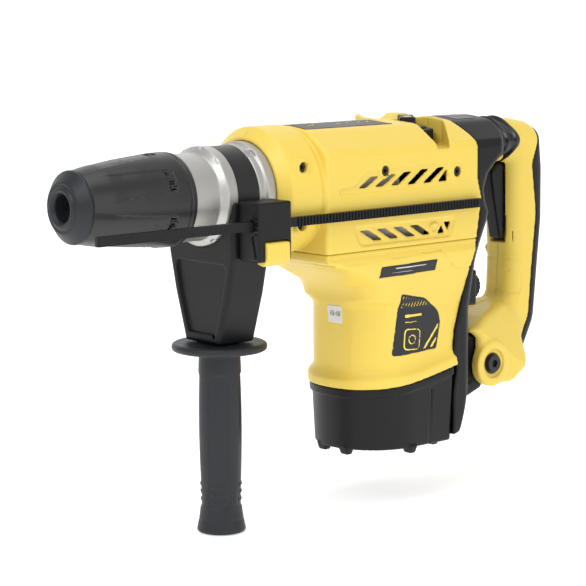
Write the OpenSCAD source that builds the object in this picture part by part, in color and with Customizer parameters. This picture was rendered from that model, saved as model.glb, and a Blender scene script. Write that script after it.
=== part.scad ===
// Electric combination hammer with an SDS-max style chuck, a vertical motor,
// a cushioned D-handle and a clamp-on side handle with depth stop.
// Origin: on the tool axis, at the front mouth of the steel tool holder.
// +X points out of the chuck, +Z is up, +Y is the operator's left.

/* [Chuck] */
// Diameter of the tool bore
bore_d = 18.1; // [18:0.05:18.3]
// Length of the plain bore in front of the drive ribs
plain_bore = 46; // [42:1:48]
// Rearward travel of the lock sleeve
sleeve_travel = 12; // [6:1:13]
// Outer radius at the rear edge of the lock sleeve
sleeve_r = 32.75; // [32.4:0.05:33.5]

/* [Impact mechanism] */
// Radius of the crank pin's circle
crank_r = 12; // [9:0.5:12]
// Length of the connecting rod between centres
rod_len = 46; // [45:0.5:47]
// Radius of the piston and the ram
piston_r = 16; // [15.5:0.1:16]
// Running clearance on a radius
run_gap = 0.05; // [0.02:0.01:0.08]

/* [Gears] */
// Tooth module
tooth_mod = 1.25; // [1.25:0.05:1.3]
// Teeth on the motor pinion
pinion_teeth = 10; // [10:1:10]
// Teeth on the crank gear
crank_teeth = 40; // [40:1:40]
// Teeth on the intermediate gear
mid_teeth = 24; // [24:1:24]
// Teeth on the bevel pinion
bevel_teeth = 8; // [8:1:8]
// Teeth on the bevel ring gear
ring_teeth = 28; // [28:1:28]

/* [Housing] */
// Distance from the tool holder's mouth back to the motor axis
motor_back = 270; // [266:1:274]
// Half width of the upper covers
cover_y = 46; // [45:0.5:46]
// Wall thickness of the plastic shells
wall = 3; // [2.5:0.1:3.5]
// Height of the joint between the covers and the motor housing
seam_z = -44.3; // [-45:0.1:-44]
// Height of the joint between the motor housing and its end cap
rim_z = -141; // [-142:0.5:-140]
// Height of the underside of the end cap
cap_z = -195.5; // [-197:0.5:-194]

/* [Handles] */
// Half thickness of the D-handle
grip_y = 16; // [15:0.5:17]
// Distance from the tool holder's mouth back to the side handle's axis
side_back = 122.2; // [121:0.1:123]
// Length of the side grip below its flange
side_len = 130; // [120:1:140]
// Length of the depth rod
depth_len = 352; // [330:1:360]

/* [Hidden] */
$fn = 64;

yellow = [0.93, 0.76, 0.16];
black = [0.10, 0.10, 0.11];
rubber = [0.13, 0.14, 0.16];
alloy = [0.70, 0.69, 0.66];
steel = [0.55, 0.56, 0.58];
copper = [0.72, 0.40, 0.20];

bore_r = bore_d / 2;
motor_x = -motor_back;
crank_x = motor_x + tooth_mod * (pinion_teeth + crank_teeth) / 2;
mid_x = crank_x + tooth_mod * (crank_teeth + mid_teeth) / 2;
side_x = -side_back;

// Tool holder and tube
holder_nose_r = 14.5;
holder_r = 19;
holder_end = -128;
guide_start = -88;
guide_r = 12.05;
roller_r = 2.9;
tube_end = -212;

// Neck, seen from the front: nose, flange, clamp groove, rear ring
neck_front = -74;
flange_x = -104;
groove_x = [-112.5, -131.8];
neck_rear = -150;
groove_r = 30;
flange_r = 34.7;
// The sleeve's inner step, which stays clear of the neck when the sleeve is back
sleeve_step = neck_front + sleeve_travel + 4;

// Gearbox
wrist_x = crank_x - crank_r + rod_len;
gear_z = [-38, -30];
rod_h = 6;
bevel_r = 7.5;
tooth_tip = tooth_mod * 0.9;
tooth_root = tooth_mod * 1.2;
case_y = 34;
lid_screw_x = [-196, -250];
lid_screw_y = 31.5;
case_floor = -52;
lid_t = 2.5;
mid_bearing_r = 7.5;
case_top = 29.5;
// Inner radius of the round collar, and of the gear case inside it
collar_in = 43;

// Motor, all heights on the vertical motor axis
core_z = [-135, -85];
core_r = 21.5;
shaft_r = 5;
commutator_z = [-168, -150];
commutator_r = 14;
fan_z = [-80, -66];
stator_r = 40;
cap_r = 46.5;

// D-handle pivot, and the clamp's rod
pivot = [-365, -145];
arm_r = 16.5;
arm_y = 27;
ear_y = 35.5;
trigger_y = 7;
trigger_pin = [-398, -3];
inlet_x = -412;
knob_x = -305;
rod_y = 49.6;
rod_z = -17.2;
rod_half = [2.4, 3.2];
block_x = [-140.5, -111];

// ---- Helpers ----

// Outline with rounded corners: each point is [a, b, corner radius]
function unit(v) = v / norm(v);
function corner(a, b, c, r) =
  r <= 0 ? [b] :
  let (u = unit(a - b), v = unit(c - b), half = acos(u * v) / 2,
       centre = b + unit(u + v) * r / sin(half),
       p = b + u * r / tan(half) - centre, q = b + v * r / tan(half) - centre,
       start = atan2(p[1], p[0]), turn0 = atan2(q[1], q[0]) - start,
       turn = turn0 > 180 ? turn0 - 360 : turn0 < -180 ? turn0 + 360 : turn0, n = 6)
  [for (i = [0:n]) centre + r * [cos(start + turn * i / n), sin(start + turn * i / n)]];
function xy(p) = [p[0], p[1]];
function rounded(pts) = [
  for (i = [0:len(pts) - 1])
    each corner(xy(pts[(i + len(pts) - 1) % len(pts)]), xy(pts[i]),
                xy(pts[(i + 1) % len(pts)]), pts[i][2])
];

// Plates: an outline in the plane across one axis, with thickness along that axis
module plate_x(pts, x0, x1)
  translate([x0, 0, 0]) rotate([90, 0, 90]) linear_extrude(x1 - x0) polygon(pts);
module plate_y(pts, y0, y1)
  translate([0, y1, 0]) rotate([90, 0, 0]) linear_extrude(y1 - y0) polygon(pts);
module plate_z(pts, z0, z1) translate([0, 0, z0]) linear_extrude(z1 - z0) polygon(pts);

// Turned parts from [radius, x] about the tool axis, and rods along X, Y or Z
module turn_x(pts) rotate([0, 90, 0]) rotate_extrude() polygon(pts);
module rod_x(r, x0, x1) translate([x0, 0, 0]) rotate([0, 90, 0]) cylinder(r = r, h = x1 - x0);
module rod_y(r, y0, y1) translate([0, y1, 0]) rotate([90, 0, 0]) cylinder(r = r, h = y1 - y0);
module rod_z(r, z0, z1) translate([0, 0, z0]) cylinder(r = r, h = z1 - z0);
module ring_z(r_in, r_out, z0, z1)
  difference() { rod_z(r_out, z0, z1); rod_z(r_in, z0 - 1, z1 + 1); }
module ring_x(r_in, r_out, x0, x1)
  difference() { rod_x(r_out, x0, x1); rod_x(r_in, x0 - 1, x1 + 1); }
module box(lo, hi) translate(lo) cube(hi - lo);

// Ball bearing about Z: one ring with a shield groove on each face
module bearing_z(r_in, r_out, z0, z1)
  difference() {
    ring_z(r_in, r_out, z0, z1);
    for (z = [z0 - 1, z1 - 0.8])
      translate([0, 0, z]) difference() {
        cylinder(r = r_in + (r_out - r_in) * 0.72, h = 1.8);
        translate([0, 0, -1]) cylinder(r = r_in + (r_out - r_in) * 0.28, h = 4);
      }
  }

// Spur gear outline with straight-flanked teeth and backlash
function gear_outline(teeth, m) =
  let (pitch_r = teeth * m / 2, step = 360 / teeth)
  [for (i = [0:teeth - 1], k = [[-0.31, 0], [-0.13, 1], [0.13, 1], [0.31, 0]])
    let (a = step * (i + k[0]), r = k[1] == 1 ? pitch_r + tooth_tip : pitch_r - tooth_root)
    r * [cos(a), sin(a)]];
module spur_gear(teeth, z0, z1, turn = 0)
  rotate(turn) plate_z(gear_outline(teeth, tooth_mod), z0, z1);

// Round wire coiled about X
module coil_x(mean_r, wire_r, x0, x1, turns) {
  sides = 8;
  steps = turns * 14;
  pts = [for (i = [0:steps]) let (t = i / steps, a = 360 * turns * t)
    for (j = [0:sides - 1]) let (b = 360 * j / sides, r = mean_r + wire_r * cos(b))
      [x0 + (x1 - x0) * t + wire_r * sin(b), r * cos(a), r * sin(a)]];
  polyhedron(pts, concat(
    [[for (j = [0:sides - 1]) j]],
    [for (i = [0:steps - 1], j = [0:sides - 1]) let (k = (j + 1) % sides)
      [i * sides + j, (i + 1) * sides + j, (i + 1) * sides + k, i * sides + k]],
    [[for (j = [0:sides - 1]) steps * sides + sides - 1 - j]]), convexity = 10);
}

// Socket-head screw along Y: head outside at y1
module screw_y(head_r, shank_r, y0, y_head, y1) {
  difference() {
    rod_y(head_r, y_head, y1);
    rotate([90, 0, 0]) translate([0, 0, -y1 - 1]) cylinder(r = head_r * 0.5, h = 2.6, $fn = 6);
  }
  rod_y(shank_r, y0, y_head);
}

// ---- Chuck and spindle ----

module tool_holder() color(steel) {
  difference() {
    turn_x([[bore_r, 0], [13.5, 0], [holder_nose_r, -1], [holder_nose_r, -44], [16.5, -44],
            [16.5, -70], [holder_r, -72], [holder_r, holder_end], [guide_r, holder_end],
            [guide_r, guide_start], [bore_r + 0.3, guide_start], [bore_r + 0.3, -plain_bore],
            [bore_r, -plain_bore]]);
    for (s = [-1, 1])
      box([-62, s > 0 ? 8 : -17, -3.1], [-50, s > 0 ? 17 : -8, 3.1]);
  }
  for (a = [90, 210, 330])
    rotate([a, 0, 0]) box([-84, 7.4, -2.5], [-plain_bore - 2, bore_r + 0.9, 2.5]);
}

module locking_rollers() color(steel)
  for (s = [-1, 1]) translate([0, s * 12.2, 0]) rod_x(roller_r, -61.5, -50.5);

module hammer_tube() color(steel)
  difference() {
    ring_x(piston_r + run_gap, holder_r, tube_end, holder_end);
    for (a = [0:90:270]) rotate([a + 45, 0, 0]) translate([-171, 0, 0]) rod_z(1.5, 10, 22);
  }

module bevel_ring_gear() color(steel) {
  face = mid_x + bevel_r + tooth_mod;
  ring_x(holder_r, 29, face, face + 8);
  for (i = [0:ring_teeth - 1]) rotate([i * 360 / ring_teeth, 0, 0])
    plate_y([[face + 0.6, -1.3], [face - 2.1, -0.55], [face - 2.1, 0.55], [face + 0.6, 1.3]], 22.2, 28.8);
}

module dust_cap() color(rubber)
  turn_x([[bore_r + 0.25, 10], [17, 10], [18.5, 9.4], [24.4, 3.2], [25, 1.6], [18, 1.6],
          [18, -6], [holder_nose_r, -6], [holder_nose_r, 0], [bore_r + 0.25, 0]]);

module lock_sleeve() color(black)
  turn_x([[18.4, 1.2], [24.6, 1.2], [25.2, 0], [27.6, -15], [30.4, -38], [32.2, -60],
          [sleeve_r, -74], [sleeve_r - 0.8, -79.4], [30.9, -79.4], [30.9, sleeve_step],
          [20, sleeve_step + 4],
          [20, -20], [holder_nose_r + run_gap, -20], [holder_nose_r + run_gap, -13], [18.4, -13]]);

module sleeve_spring() color(steel) coil_x(16.2, 1.0, -42.4, -21.6, 5);

module neck_barrel() color(alloy)
  turn_x([[28, neck_front], [30.5, neck_front - 3], [30.5, -100.5], [flange_r, flange_x],
          [flange_r, groove_x[0]], [groove_r, groove_x[0]], [groove_r, groove_x[1]],
          [flange_r, groove_x[1]], [flange_r, -137], [36.3, -138], [36.3, neck_rear],
          [22, neck_rear], [22, -92], [26, -92], [26, neck_front]]);

module spindle_bearing() color(steel)
  turn_x([[holder_r + run_gap, -91.9], [holder_r + run_gap, -78], [21, -78], [21, -79],
          [24, -79], [24, -78], [26, -78], [26, -91.9]]);

// ---- Gearbox ----

case_side = rounded([[-150, -38, 0], [-150, case_top, 0], [-262, case_top, 4], [-266, -8, 6],
                     [-290, -12, 6], [-290, case_floor, 0], [-197, case_floor, 1],
                     [-186, -40, 2]]);
case_inside = rounded([[-155, -33, 3], [-155, 25, 3], [-180, 25, 1], [-180, case_top + 1, 0],
                       [-258, case_top + 1, 0],
                       [-262, -12, 3], [-285, -16, 3], [-285, -43, 3],
                       [-181, -43, 1], [-181, -33, 1]]);

// Room inside the collar and the body behind it
module inside_covers() {
  turn_x([[0, -149], [36, -149], [collar_in - 1, -158], [collar_in - 1, -190], [0, -190]]);
  box([-300, -50, -70], [collar_end - wall, 50, 50]);
}

module gear_case() color(alloy)
  difference() {
    union() {
      intersection() { plate_y(case_side, -case_y, case_y); inside_covers(); }
      translate([motor_x, 0, 0]) rod_z(18, -63, case_floor);
      translate([crank_x, 0, 0]) rod_z(15, -58, case_floor);
    }
    plate_y(case_inside, -case_y + 5, case_y - 5);
    rod_x(22, -156, -149);
    translate([motor_x, 0, 0]) { rod_z(13, -64, -54); rod_z(7.8, -55, -42); }
    translate([crank_x, 0, 0]) { rod_z(12, -54, -42); }
    translate([mid_x, 0, 0]) rod_z(mid_bearing_r, -49, -42);
    for (s = [-1, 1], x = lid_screw_x) translate([x, s * lid_screw_y, case_top]) rod_z(1.5, -11, 1);
    for (p = [[-164, 19], [-240, 12], [-162, -21]]) translate([p[0], 0, p[1]]) rod_y(1.9, 31, 37);
  }

module gear_case_lid() color(alloy)
  difference() {
    intersection() {
      plate_z(rounded([[-178, -33.5, 2], [-178, 33.5, 2], [-261, 33.5, 5], [-261, -33.5, 5]]),
              case_top, case_top + lid_t);
      inside_covers();
    }
    for (s = [-1, 1], x = lid_screw_x) translate([x, s * lid_screw_y, case_top]) {
      rod_z(1.7, -1, 4);
      rod_z(2.1, lid_t - 1, 4);
    }
  }

module gear_case_screws() color(steel)
  for (s = [-1, 1], x = lid_screw_x) translate([x, s * lid_screw_y, case_top]) {
    rod_z(1.5, -10, lid_t - 1);
    rod_z(2.0, lid_t - 1, lid_t);
  }

module gearbox_bearings() color(steel) {
  translate([crank_x, 0, 0]) bearing_z(6 + run_gap, 12, -54, -44);
  translate([mid_x, 0, 0]) bearing_z(4 + run_gap, mid_bearing_r, -49, -43);
}

module crankshaft() color(steel) translate([crank_x, 0, 0]) {
  rod_z(6, -54, gear_z[0]);
  rod_z(10, gear_z[0], gear_z[1]);
  rod_z(18, gear_z[1], gear_z[1] + 5);
  translate([-crank_r, 0, 0]) rod_z(4, gear_z[1] + 5, -rod_h - 0.4);
}

module crank_gear() color(steel) translate([crank_x, 0, 0])
  difference() {
    spur_gear(crank_teeth, gear_z[0], gear_z[1]);
    rod_z(10, gear_z[0] - 1, gear_z[1] + 1);
    for (a = [30:60:330]) rotate(a) translate([16, 0, 0]) rod_z(3, gear_z[0] - 1, gear_z[1] + 1);
  }

module connecting_rod() color(steel)
  difference() {
    union() {
      translate([wrist_x, 0, 0]) rod_z(6.5, -rod_h, rod_h);
      translate([wrist_x - rod_len, 0, 0]) rod_z(8.5, -rod_h, rod_h);
      box([wrist_x - rod_len + 6, -3.5, -4], [wrist_x - 5, 3.5, 4]);
    }
    translate([wrist_x, 0, 0]) rod_z(4 + run_gap, -rod_h - 1, rod_h + 1);
    translate([wrist_x - rod_len, 0, 0]) rod_z(5, -rod_h - 1, rod_h + 1);
  }

module piston() color(alloy)
  difference() {
    rod_x(piston_r, wrist_x - 12, wrist_x + 16);
    rod_x(12.5, wrist_x - 13, wrist_x - 2);
    box([wrist_x - 3, -7.5, -7], [wrist_x + 7.5, 7.5, 7]);
    translate([wrist_x, 0, 0]) rod_z(4, -20, 20);
    ring_x(piston_r - 1.6, piston_r + 1, wrist_x + 10, wrist_x + 12.4);
  }

module piston_pin() color(steel) translate([wrist_x, 0, 0]) rod_z(4, -14.5, 14.5);

module piston_ring() color(rubber)
  ring_x(piston_r - 1.6, piston_r, wrist_x + 10, wrist_x + 12.4);

module ram() color(steel)
  difference() {
    turn_x([[0, -163], [piston_r - 1, -163], [piston_r, -162], [piston_r, -138.5],
            [piston_r - 2, -137], [0, -137]]);
    ring_x(piston_r - 1.6, piston_r + 1, -157, -154.6);
  }

module ram_ring() color(rubber) ring_x(piston_r - 1.6, piston_r, -157, -154.6);

module beat_piece() color(steel)
  turn_x([[0, -97], [8, -97], [8.6, -98], [8.6, -104], [guide_r - run_gap, -108],
          [guide_r - run_gap, -124], [10, -126], [0, -126]]);

module intermediate_gear() color(steel) translate([mid_x, 0, 0])
  difference() {
    spur_gear(mid_teeth, gear_z[0], gear_z[1], 180 / mid_teeth);
    rod_z(6, gear_z[0] - 1, gear_z[1] + 1);
  }

module bevel_pinion() color(steel) translate([mid_x, 0, 0]) {
  rod_z(4, -49, gear_z[0]);
  rod_z(6, gear_z[0], gear_z[1]);
  rod_z(5, gear_z[1], -21.6);
  for (i = [0:bevel_teeth - 1]) rotate(i * 360 / bevel_teeth + 180 / bevel_teeth)
    plate_z([[4.6, -1.3], [bevel_r + 0.8, -0.5], [bevel_r + 0.8, 0.5], [4.6, 1.3]], -29, -22);
}

// ---- Motor ----

module armature_shaft() color(steel) translate([motor_x, 0, 0]) {
  rod_z(shaft_r, -188, -41);
  rod_z(4.4, -41.5, -38);
  spur_gear(pinion_teeth, -39, -28.5, 180 / pinion_teeth);
}

slots = 12;
module rotor_core() color(steel) translate([motor_x, 0, 0])
  difference() {
    ring_z(shaft_r, core_r, core_z[0], core_z[1]);
    for (i = [0:slots - 1]) rotate(i * 360 / slots)
      box([11, -1.8, core_z[0] - 1], [core_r + 1, 1.8, core_z[1] + 1]);
  }

module armature_windings() color(copper) translate([motor_x, 0, 0]) {
  for (i = [0:slots - 1]) rotate(i * 360 / slots)
    box([12, -1.7, core_z[0]], [core_r - 1, 1.7, core_z[1]]);
  ring_z(shaft_r + 3, core_r - 1.5, core_z[1], core_z[1] + 4);
  ring_z(shaft_r + 3, core_r - 1.5, core_z[0] - 8, core_z[0]);
}

module commutator() color(copper) translate([motor_x, 0, 0])
  difference() {
    ring_z(shaft_r, commutator_r, commutator_z[0], commutator_z[1]);
    for (i = [0:23]) rotate(i * 15)
      box([12.6, -0.3, commutator_z[0] - 1], [15, 0.3, commutator_z[1] + 1]);
  }

module cooling_fan() color(black) translate([motor_x, 0, 0]) {
  ring_z(shaft_r, 11, fan_z[0], fan_z[1]);
  ring_z(11, 35, fan_z[1] - 2, fan_z[1]);
  for (i = [0:13]) rotate(i * 360 / 14)
    box([16, -0.9, fan_z[0]], [34, 0.9, fan_z[1] - 1]);
}

module motor_bearings() color(steel) translate([motor_x, 0, 0]) {
  bearing_z(shaft_r + run_gap, 13, -63, -54);
  bearing_z(shaft_r + run_gap, 11, -186, -177);
}

module stator_core() color(steel) translate([motor_x, 0, 0]) {
  ring_z(34, stator_r, core_z[0], core_z[1]);
  for (s = [0, 180]) rotate(s) difference() {
    intersection() {
      rod_z(34, core_z[0], core_z[1]);
      box([0, -16, core_z[0]], [40, 16, core_z[1]]);
    }
    rod_z(core_r + 0.7, core_z[0] - 1, core_z[1] + 1);
  }
}

module field_coils() color(copper) translate([motor_x, 0, 0])
  for (s = [0, 180]) rotate(s) difference() {
    intersection() {
      ring_z(24.5, 33.8, core_z[0] - 9, core_z[1] + 4);
      box([0, -30, core_z[0] - 9], [40, 30, core_z[1] + 4]);
    }
    box([0, -16.2, core_z[0] - 1], [40, 16.2, core_z[1] + 1]);
    box([-1, -40, core_z[0] - 10], [7, 40, core_z[1] + 5]);
  }

module brush_holders() color([0.75, 0.62, 0.3]) translate([motor_x, 0, -159])
  for (s = [0, 180]) rotate(s) difference() {
    box([-5.5, 17, -6.5], [5.5, 43.1, 6.5]);
    box([-4, 16, -5], [4, 37, 5]);
  }

module carbon_brushes() color([0.2, 0.2, 0.2]) translate([motor_x, 0, -159])
  for (s = [0, 180]) rotate(s) box([-3.9, commutator_r + 0.1, -4.9], [3.9, 32, 4.9]);

// ---- Yellow housing ----

// Joint between the yellow shells and the black rear housing, as [x, z]
rear_seam = [[-330, 60], [-330, 41], [-334, 34], [-335, 27], [-335, 0], [-339, -14],
             [-334, seam_z], [-328, -62], [-313, -112], [-311, -130], [-314, rim_z]];
// Rear end of the round collar, where the square body and the motor housing begin
collar_end = -183.5;
pocket_r = 23.5;
pocket_wall = 2.5;
pocket_floor = 24;

module front_of_seam(shift = 0)
  plate_y(concat([for (p = rear_seam) p + [shift, 0]], [[-300, -200], [0, -200], [0, 60]]), -60, 60);

// Upper cover as one thick-walled body, inset by d for its cavity
module cover_form(d) {
  plate_x(rounded([[cover_y - d, -60, 0], [cover_y - d, 24 - d * 0.2, 1],
                   [43.6 - d, 29 - d * 0.4, 2], [24 - d * 0.3, 42.6 - d, 18], [0, 45.6 - d, 60],
                   [-24 + d * 0.3, 42.6 - d, 18], [-43.6 + d, 29 - d * 0.4, 2],
                   [-cover_y + d, 24 - d * 0.2, 1], [-cover_y + d, -60, 0]]),
          -345, -183 - d);
  turn_x([[0, -145 - d * 1.6], [38.5, -145 - d * 1.6], [46 - d, -152 - d * 1.2],
          [46 - d, collar_end - d], [0, collar_end - d]]);
}

// Room for the selector knob, with a notch that opens it to the left
notch = [[knob_x, 0], [-292.5, 20], [-293.6, 47], [-302, 47], [-326, 15], [-326, 0]];
notch_outside = [[knob_x, 0], [-290, 20], [-291, 47], [-304, 47], [-328.5, 16.5], [-328.5, 0]];
module knob_pocket(plan, r, z0) {
  translate([knob_x, 0, 0]) rod_z(r, z0, 60);
  plate_z(plan, z0, 60);
}

// Raised rims in front of the knob and on its far side
module knob_guards() intersection() {
  translate([knob_x, 0, 0]) difference() {
    rod_z(38.5, 38, 48);
    rod_z(34.5, 30, 50);
    box([-60, -60, 20], [10, 60, 60]);
  }
  plate_x([[-30, 30], [-30, 47.5], [-8, 47], [20, 41.5], [22, 30]], -300, -260);
}
module far_guard()
  plate_y(rounded([[-302, 36, 0], [-311, 41.5, 3], [-320, 46.8, 4], [-329, 46.3, 2], [-329, 36, 0]]),
          -36, -24);

cover_holes = [[-164, 19], [-240, 12], [-313, 7], [-162, -21]];
// Distance of a screw head's seat from the middle plane, deeper on the round collar
function seat_y(p) = p[0] > -181 ? sqrt(46 * 46 - p[1] * p[1]) - 3.4 : cover_y - 3.2;

module upper_vents()
  for (i = [0:5]) translate([-206 - 16.5 * i, 0, 0])
    plate_y(rounded([[8, 5.5 + i, 1], [3, 5.5 + i, 1], [-9, 18 + i, 1], [-4, 18 + i, 1]]), 30, 60);
module lower_vents()
  for (i = [0:3]) translate([-206 - 20 * i, 0, 0])
    plate_y(rounded([[4, -22, 1], [-4, -22, 1], [-18, -32, 1], [-10, -32, 1]]), 30, 60);

module upper_cover() {
  difference() {
    intersection() {
      union() { cover_form(0); knob_guards(); far_guard(); }
      front_of_seam();
    }
    intersection() { cover_form(wall); front_of_seam(2); }
    box([-400, -80, -90], [collar_end, 80, seam_z]);
    rod_x(37, -160, -140);
    knob_pocket(notch, pocket_r - pocket_wall, pocket_floor);
    for (s = [0, 1]) mirror([0, s, 0]) { upper_vents(); lower_vents(); }
    for (p = cover_holes) translate([p[0], 0, p[1]]) { rod_y(2, 30, 60); rod_y(3.8, seat_y(p), 60); }
  }
  difference() {
    for (p = cover_holes) translate([p[0], 0, p[1]]) difference() {
      rod_y(5.5, 36.4, 43.4);
      rod_y(2, 30, 60);
      rod_y(3.8, seat_y(p), 60);
    }
    difference() { rod_x(70, -180, -140); rod_x(collar_in + 0.5, -190, -130); }
  }
  // Floor and wall of the knob pocket
  intersection() {
    cover_form(wall - 0.5);
    difference() {
      knob_pocket(notch_outside, pocket_r, pocket_floor - 2);
      knob_pocket(notch, pocket_r - pocket_wall, pocket_floor);
      translate([knob_x, 0, 0]) rod_z(6, pocket_floor - 3, pocket_floor + 1);
    }
  }
}

module upper_cover_left() color(yellow)
  intersection() { upper_cover(); box([-400, 0, -100], [0, 80, 100]); }
module upper_cover_right() color(yellow)
  intersection() { upper_cover(); box([-400, -80, -100], [0, 0, 100]); }

module cover_screws() color(steel)
  for (p = cover_holes) translate([p[0], 0, p[1]])
    screw_y(3.4, 1.9, p[0] > -300 ? 32.5 : 36.5, seat_y(p), seat_y(p) + 2.4);

motor_side = rounded([[collar_end, seam_z, 0], [collar_end, -50.5, 3], [-206, -60, 14], [-226, -76, 14],
                      [-228, -100, 10], [-228, -200, 0], [-345, -200, 0], [-345, seam_z, 0]]);
module motor_form(d) {
  intersection() {
    plate_y([for (p = motor_side) p + [-d * 1.2, 0]], -60, 60);
    plate_x(rounded([[46 - d, seam_z + 5, 0], [48 - d, -56, 4], [46 - d, -70, 6],
                     [43.5 - d, -90, 6], [43.5 - d, -200, 0], [-43.5 + d, -200, 0],
                     [-43.5 + d, -90, 6], [-46 + d, -70, 6], [-48 + d, -56, 4],
                     [-46 + d, seam_z + 5, 0]]), -345, -140);
    union() {
      box([-400, -60, -84], [-140, 60, seam_z]);
      motor_plan(44 - d, -132, -80);
    }
  }
  motor_plan(48 - d, rim_z - (d > 0 ? 1 : 0), -131);
}
// Round-fronted plan about the motor axis, straight towards the rear
module motor_plan(r, z0, z1) {
  translate([motor_x, 0, 0]) rod_z(r, z0, z1);
  box([-345, -r, z0], [motor_x, r, z1]);
}

module motor_housing() color(yellow)
  difference() {
    intersection() { motor_form(0); front_of_seam(); }
    intersection() {
      union() {
        motor_form(wall);
        box([-300, -43, seam_z - 5], [collar_end - wall, 43, seam_z + 1]);
      }
      front_of_seam(2);
      union() {
        box([-400, -60, -90], [-140, 60, 0]);
        motor_plan(stator_r + 0.6, -143, -60);
      }
      plate_y([for (p = motor_side) p + [-wall * 1.4, (p[1] > -150) ? 1 : 0]], -60, 60);
    }
    translate([motor_x, 0, 0]) rod_z(stator_r, rim_z - 1, core_z[1] + 1);
  }

module motor_end_cap() color(black) {
  difference() {
    intersection() {
      motor_plan(cap_r, cap_z, rim_z);
      box([-311, -60, -210], [0, 60, 0]);
    }
    intersection() {
      motor_plan(cap_r - wall, cap_z + wall, rim_z + 1);
      box([-308, -60, -210], [0, 60, 0]);
    }
    for (a = [45, 135, 225, 315]) translate([motor_x, 0, 0]) rotate(a)
      translate([38, 0, 0]) { rod_z(2, -200, -100); rod_z(4, cap_z - 1, cap_z + 2); }
  }
  translate([motor_x, 0, 0]) ring_z(11, 14, cap_z + wall, -177);
  for (a = [45, 135, 225, 315]) translate([motor_x, 0, 0]) rotate(a)
    translate([38, 0, 0]) ring_z(2, 4.6, cap_z + wall, -150);
  for (p = [[-232, 12], [-232, -12], [-270, 40], [-270, -40], [-303, 30], [-303, -30]])
    translate([p[0], p[1], 0]) box([-3, -4, cap_z - 4], [3, 4, cap_z]);
}

module end_cap_screws() color(steel)
  for (a = [45, 135, 225, 315]) translate([motor_x, 0, 0]) rotate(a)
    translate([38, 0, 0]) { rod_z(3.6, cap_z, cap_z + 2); rod_z(1.9, cap_z + 2, -151); }

// ---- Rear housing ----

back_line = [[-352, 46, 10], [-364, 38, 6], [-364, 6, 4], [-357, 0, 5], [-364, -16, 5],
             [-352, -58, 6], [-349, -112, 6], [-354, -120, 4]];
module rear_side(d) {
  plate_y(rounded(concat([[-290, 60, 0], [-310, 49 - d, 0], [-345, 47 - d, 8]],
    [for (p = back_line) [p[0] + d, p[1] - (p[1] > 40 ? d : 0), p[2]]],
    [[-330 + d, -160 + d, 3], [-318 + d, -190 + d, 4], [-311, -193 + d, 0], [-290, -193 + d, 0]])),
    -60, 60);
}
module rear_plan(d)
  plate_z(rounded([[-290, 60, 0], [-290, -60, 0], [-320, -46 + d, 0], [-340, -44 + d, 12],
                   [-364 + d, -30 + d, 8], [-364 + d, 30 - d, 8], [-340, 44 - d, 12],
                   [-320, 46 - d, 0]]), -250, 100);
module rear_form(d)
  intersection() {
    rear_side(d);
    rear_plan(d);
    plate_x(rounded([[46 - d, -250, 0], [46 - d, 49 - d, 22], [-46 + d, 49 - d, 22],
                     [-46 + d, -250, 0]]), -400, -290);
  }
dial_at = [-351, 20, -85];

module rear_housing() color(black)
  difference() {
    union() {
      difference() {
        rear_form(0);
        rear_form(wall);
        front_of_seam();
        box([-311, -80, -210], [0, 80, rim_z]);
      }
      // pivot arm
      difference() {
        plate_y(rounded([[-346, -114, 0], [-354, -117, 6], [-372, -130, 3], [-365, -145, 0],
                         [-360, -164, 3], [-340, -171, 6], [-332, -168, 0], [-346, -150, 0]]),
                -arm_y, arm_y);
        rear_form(wall);
      }
      translate([pivot[0], 0, pivot[1]]) rod_y(arm_r, -arm_y, arm_y);
    }
    translate([pivot[0], 0, pivot[1]]) rod_y(8 + run_gap, -40, 40);
    box([-364, dial_at[1] - 4.6, -97], [-340, dial_at[1] + 4.6, -73]);
  }

module speed_dial() color(black) translate([dial_at[0], 0, dial_at[2]])
  difference() {
    rod_y(10, dial_at[1] - 4, dial_at[1] + 4);
    for (i = [0:17]) rotate([0, i * 20, 0]) translate([10.4, 0, 0]) rod_y(0.9, 10, 30);
  }

module bellows() color(rubber)
  difference() {
    union() {
      for (i = [0:4]) plate_x(bellows_outline(1 - 0.02 * i), -368.5 - 4.7 * i, -365.2 - 4.7 * i);
      plate_x(bellows_outline(0.9), -388.2, -364.3);
    }
    plate_x(bellows_outline(0.74), -390, -362);
  }
function bellows_outline(k) =
  [for (a = [0:15:345]) [25 * k * cos(a), 20 + 21 * k * sin(a)]];

// ---- D-handle ----

handle_outer = [[-388.4, 0, 4], [-388.4, 41, 4], [-408, 41, 20], [-428, 37, 14], [-441, 29, 12],
                [-444, 0, 40], [-444, -40, 60], [-436, -120, 30], [-422, -147, 24],
                [-396, -166, 14], [-374, -160, 0], [-371, -124, 4], [-384, -116, 12],
                [-399, -100, 20], [-400, -64, 20], [-398, -54, 6], [-397, 0, 0]];
module handle_profile(y0, y1) plate_y(rounded(handle_outer), y0, y1);

// Soft rear strip: the band behind a line set in from the rear outline
grip_line = [[-434, 22, 6], [-427, 4, 14], [-432, -34, 60], [-427, -80, 40], [-424, -116, 24],
             [-412, -138, 20], [-402, -154, 0]];
module grip_zone()
  plate_y(rounded(concat([[-434, 60, 0]], grip_line, [[-402, -200, 0], [-480, -200, 0], [-480, 60, 0]])),
          -60, 60);

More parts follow.
